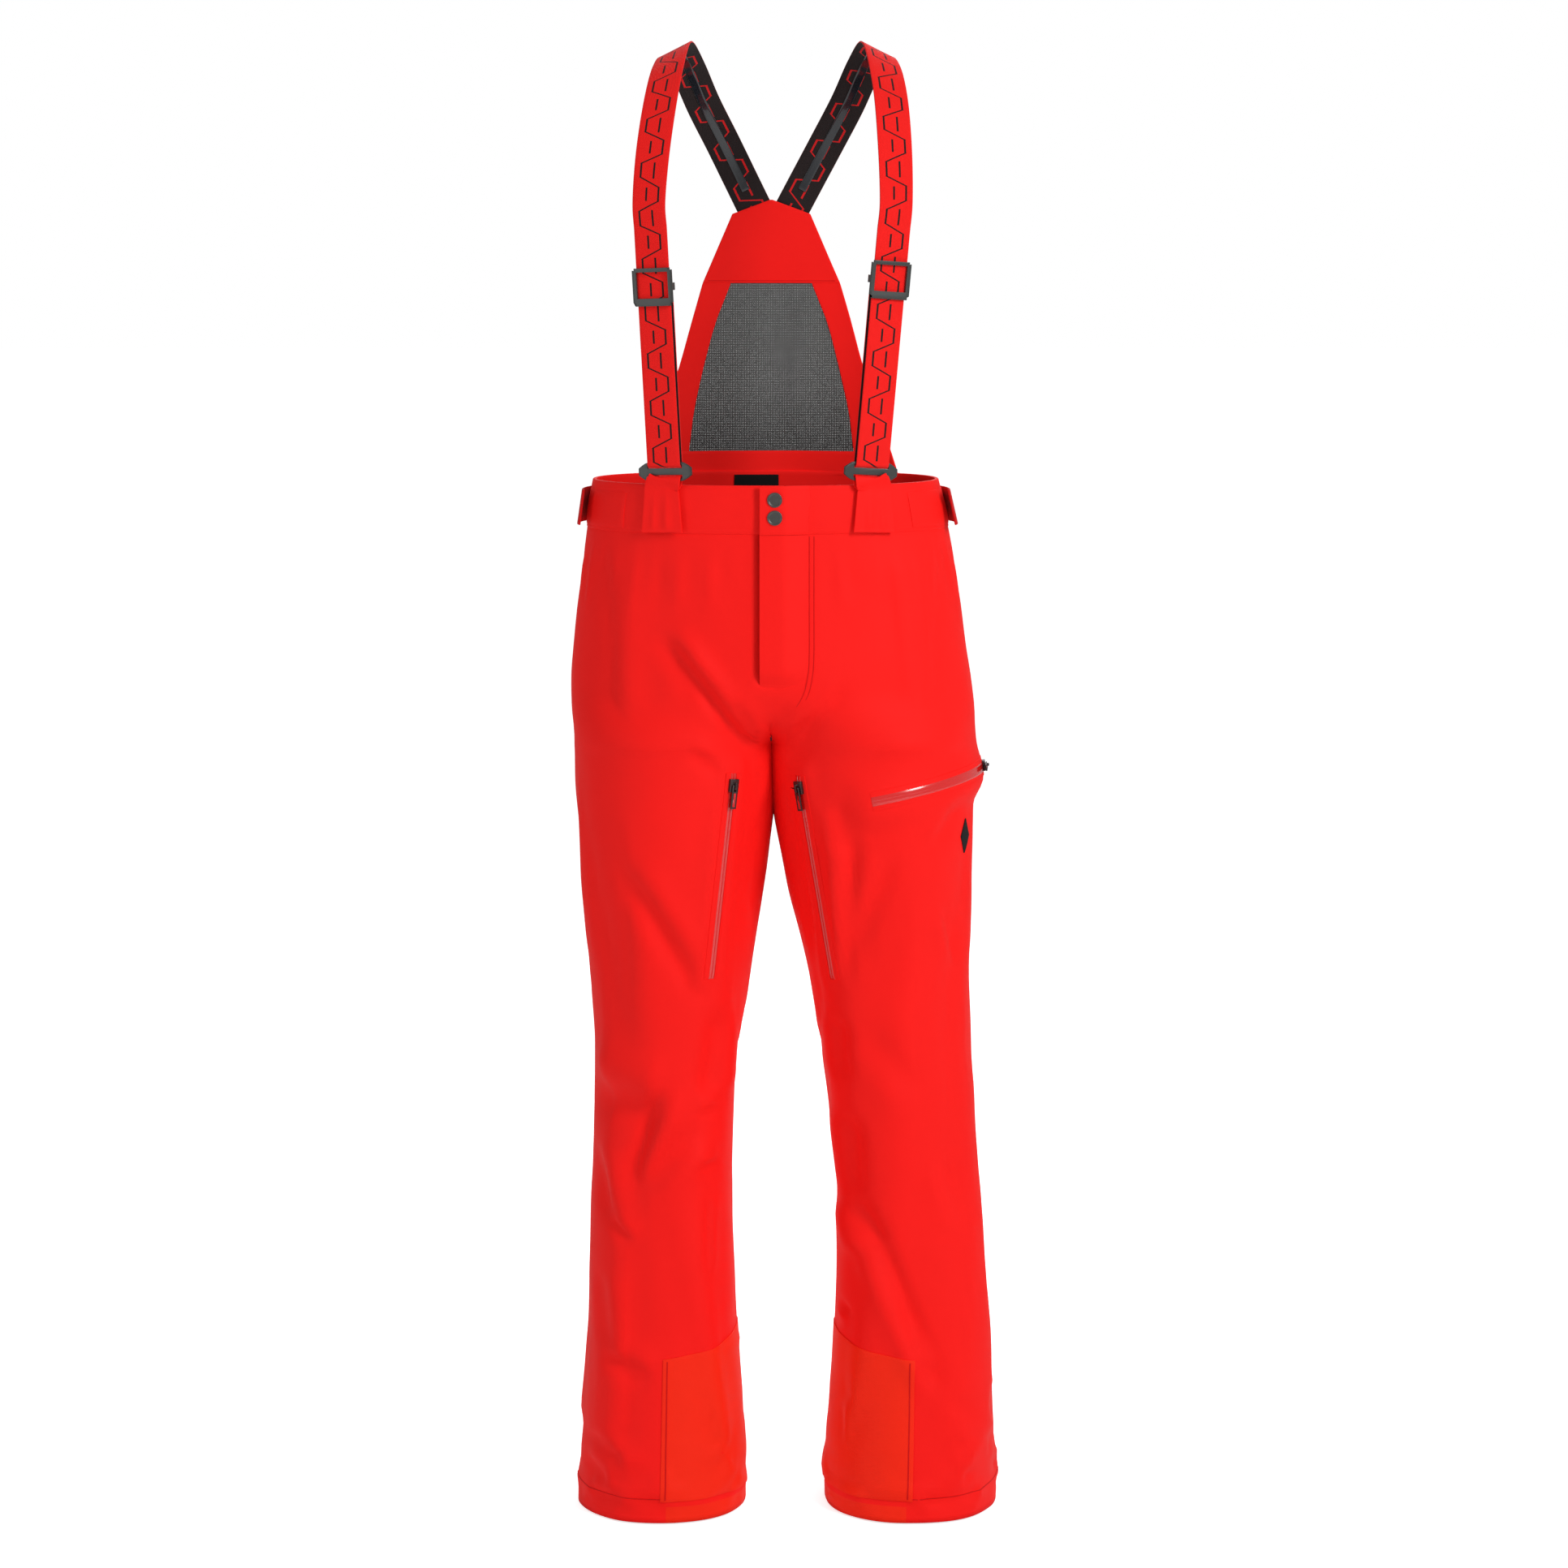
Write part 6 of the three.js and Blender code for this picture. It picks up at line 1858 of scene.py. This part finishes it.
def back_surface(x, z):
    """The trunk's surface at the waist, turning into the flat bow of the yoke."""
    band = trunk(np.pi - trunk_turn(x, 0), np.zeros_like(z))
    y = blend_to(band[..., 1], BACK_FLAT - BACK_BOW * x * x, smooth_share(z / TIP_Z))
    return np.stack([x, y, z], axis=-1)


def over_back(x, z, distance):
    return over(lambda u, h: back_surface(-u, h), step=MM)(-x, z, distance)


def edge_table(node, pick):
    """Height and half width of each row of a CAD piece, from the lowest up."""
    points = vertices_of(node)
    rows = [(z, pick(np.abs(at_height(points, z)[:, 0]))) for z in level_rows(points, BORDER_CORNERS)]
    return np.array(rows)[::-1]


NET_EDGE = edge_table("left_back_border", np.min)
yoke_points = vertices_of("back_yoke")
SHOULDER = yoke_points[np.argmax(yoke_points[:, 0] + 2 * yoke_points[:, 2])]
OUTER_EDGE = np.vstack([edge_table("back_lower_border", np.max)[:1], edge_table("left_back_border", np.max),
                        [SHOULDER[[2, 0]]]])


def half_width(z):
    return np.interp(z, OUTER_EDGE[:, 0], OUTER_EDGE[:, 1])


def net_width(z):
    """Midway between the CAD net's curved edge and a straight one."""
    curved = np.interp(z, NET_EDGE[:, 0], NET_EDGE[:, 1])
    straight = np.interp(z, NET_EDGE[[0, -1], 0], NET_EDGE[[0, -1], 1])
    return (curved + straight) / 2


print("half width of the back at the waist, the seam and the shoulder:",
      [round(float(half_width(z)), 3) for z in (0, SEAM_Z, SHOULDER[2])])

# %% Yoke
SEAM_LAP = 4 * MM
YOKE_BEHIND, YOKE_BEFORE = 0.8 * MM, 2.0 * MM    # from the middle of the back to its two faces


def soft_back(x, z):
    """The back hangs in slow waves, the same for all its pieces."""
    return 0.8 * MM * np.sin(x * 60 + z * 12) + 0.6 * MM * np.sin(z * 55 - x * 25)


def back_piece(name, node, material, x, z, behind, before, folds=0.0, bevel=0.5 * MM):
    """behind and before are how far its two faces lie from the middle of the back."""
    middle = soft_back(x, z) + folds
    piece = slab(name, over_back(x, z, middle + behind), over_back(x, z, middle - before), bevel=bevel)
    finish(piece, material, node)


shares, rise = np.meshgrid(np.linspace(0, 1, 34), np.linspace(1, 0, 22))
roof = blend_to(TIP_Z, SHOULDER[2], np.abs(2 * shares - 1))
z = blend_to(SEAM_Z, roof, rise)
x = half_width(np.minimum(z, SHOULDER[2])) * (1 - 2 * shares)
back_piece("yoke_cloth", "back_yoke", "red_shell", x, z, YOKE_BEHIND, YOKE_BEFORE)

# One row of stitches runs along the seam, on the face towards the wearer.
shares, z = np.meshgrid(np.linspace(0.03, 0.97, 80), SEAM_Z + SEAM_LAP * np.linspace(0.6, 0.75, 3))
x = half_width(z) * (1 - 2 * shares)
face = soft_back(x, z) - YOKE_BEFORE
stitches = slab("yoke_stitch", over_back(x, z, face + 0.2 * MM), over_back(x, z, face - THREAD / 2), bevel=0)
ride_along(stitches, "thread", "back_yoke")

# %% Back net
NET_FADE = 25 * MM     # its folds end this far from its upper and lower seams
heights = np.linspace(SEAM_Z + SEAM_LAP, NET_LOW - SEAM_LAP, 60)
shares, z = np.meshgrid(np.linspace(0, 1, 90), heights)
x = (net_width(z) + SEAM_LAP) * (1 - 2 * shares)
from_sides = np.minimum(shares, 1 - shares) * 8
from_seams = np.minimum(SEAM_Z - z, z - NET_LOW) / NET_FADE
calm = np.clip(np.minimum(from_sides, from_seams), 0, 1)
net_folds = 1.5 * MM * np.sin(x * 110 + 1.4 * np.sin(z * 17)) * calm
back_piece("net_cloth", "back_net", "grey_net", x, z, 0.0, 0.7 * MM, net_folds, bevel=0)

# %% Borders
for side in SIDES:
    shares, z = np.meshgrid(np.linspace(0, 1, 14), heights)
    near, far = (half_width(z), net_width(z)) if side == LEFT else (-net_width(z), -half_width(z))
    back_piece(f"{WORD[side]}_border_cloth", f"{WORD[side]}_back_border", "red_shell",
               blend_to(near, far, shares), z, 0.5 * MM, 1.6 * MM)
shares, z = np.meshgrid(np.linspace(0, 1, 60), np.linspace(NET_LOW, -5 * MM, 8))
back_piece("lower_border_cloth", "back_lower_border", "red_shell", half_width(z) * (1 - 2 * shares), z,
           YOKE_BEHIND, YOKE_BEFORE)

# %% [markdown]
# ## Cloth pieces
# Every cloth piece is a sheet cut flat and then sewn in. The flat sizes of the trousers' two sides are measured,
# and a table lists how each piece is held.

right_girth, right_length, right_area = grid_size(SKIN[RIGHT])
left_girth, left_length, left_area = grid_size(SKIN[LEFT])
BANDS = ["right_front_waistband_cloth", "left_front_waistband_cloth", "back_waistband_cloth"]
HELD = [("trousers_cloth", "hung", BANDS), ("waist_label_cloth", "laid", BANDS[2]),
        ("thigh_patch_cloth", "laid", "trousers_cloth"),
        ("fly_flap_cloth", "hung", "snap_tab_cloth"), ("snap_tab_cloth", "folded", BANDS[0]),
        ("fly_underlap_cloth", "hung", BANDS[0]), ("pocket_bag_cloth", "hung", "trousers_cloth"),
        ("lower_border_cloth", "stretched", BANDS[2]),
        ("net_cloth", "stretched", ["yoke_cloth", "lower_border_cloth"]),
        ("yoke_cloth", "hung", ["right_webbing", "left_webbing"])]
HELD += [(band, "folded", "trousers_cloth") for band in BANDS]
for side in SIDES:
    word = WORD[side]
    HELD += [(f"{word}_adjuster_tab", "laid", BANDS[2]), (f"{word}_adjuster_patch", "laid", BANDS),
             (f"{word}_guard", "laid", "trousers_cloth"), (f"{word}_gaiter", "hung", "trousers_cloth"),
             (f"{word}_elastic", "gathered", f"{word}_gaiter"),
             (f"{word}_backing_net", "laid", "trousers_cloth"),
             (f"{word}_loop", "folded", f"{word}_hook"), (f"{word}_border_cloth", "stretched", "yoke_cloth")]

# %% [markdown]
# ## Stage
# A plain pale floor and background, with large soft lights, so that the saturated cloth keeps its colour.


# %% Floor, lights and camera
def area_light(name, location, target, size, power):
    light = bpy.data.objects.new(name, bpy.data.lights.new(name, "AREA"))
    light.data.shape = "RECTANGLE"
    light.data.size, light.data.size_y = size
    light.data.energy = power
    light.location = location
    light.rotation_mode = "QUATERNION"
    light.rotation_quaternion = (Vector(target) - Vector(location)).to_track_quat("-Z", "Y")
    bpy.context.scene.collection.objects.link(light)


bpy.ops.mesh.primitive_plane_add(size=60, location=(0, 0, HEM - 2 * MM))
floor = bpy.context.active_object
floor.name = "floor"
graph, shader = base_material("floor", (0.9, 0.9, 0.9), 1.0)
shader.inputs["Emission Color"].default_value = (1, 1, 1, 1)
seen = graph.node("ShaderNodeLightPath").outputs["Is Camera Ray"]
graph.tree.links.new(graph.math("MULTIPLY", seen, 0.68), shader.inputs["Emission Strength"])
floor.data.materials.append(MATERIALS["floor"])

BACKDROP, SKYLIGHT = 1.0, 0.40
world = bpy.data.worlds.new("pale")
world.use_nodes = True
sky = Graph(world.node_tree)
seen = sky.node("ShaderNodeLightPath").outputs["Is Camera Ray"]
strength = sky.math("MULTIPLY_ADD", seen, BACKDROP - SKYLIGHT, SKYLIGHT)
sky.tree.links.new(strength, world.node_tree.nodes["Background"].inputs["Strength"])
world.node_tree.nodes["Background"].inputs["Color"].default_value = (1, 1, 1, 1)
bpy.context.scene.world = world
bpy.context.scene.view_settings.view_transform = "Standard"
middle = Vector((0, 0, HEM / 2))
area_light("key", (2.4, -2.5, 1.5), middle, (1.0, 1.8), 88)
area_light("fill", (-2.8, -2.2, 0.2), middle, (1.0, 2.4), 20)
area_light("back_light", (0.4, 2.6, 1.8), middle, (2, 2), 40)

camera = bpy.data.objects.new("camera", bpy.data.cameras.new("camera"))
camera.data.sensor_width = 36
camera.data.angle = math.radians(19.6)
camera.location = (0.014, -4.93, 0.35)
camera.rotation_euler = (math.radians(90 - 7.92), 0, 0)
camera.data.clip_end = 50
bpy.context.scene.collection.objects.link(camera)
bpy.context.scene.camera = camera
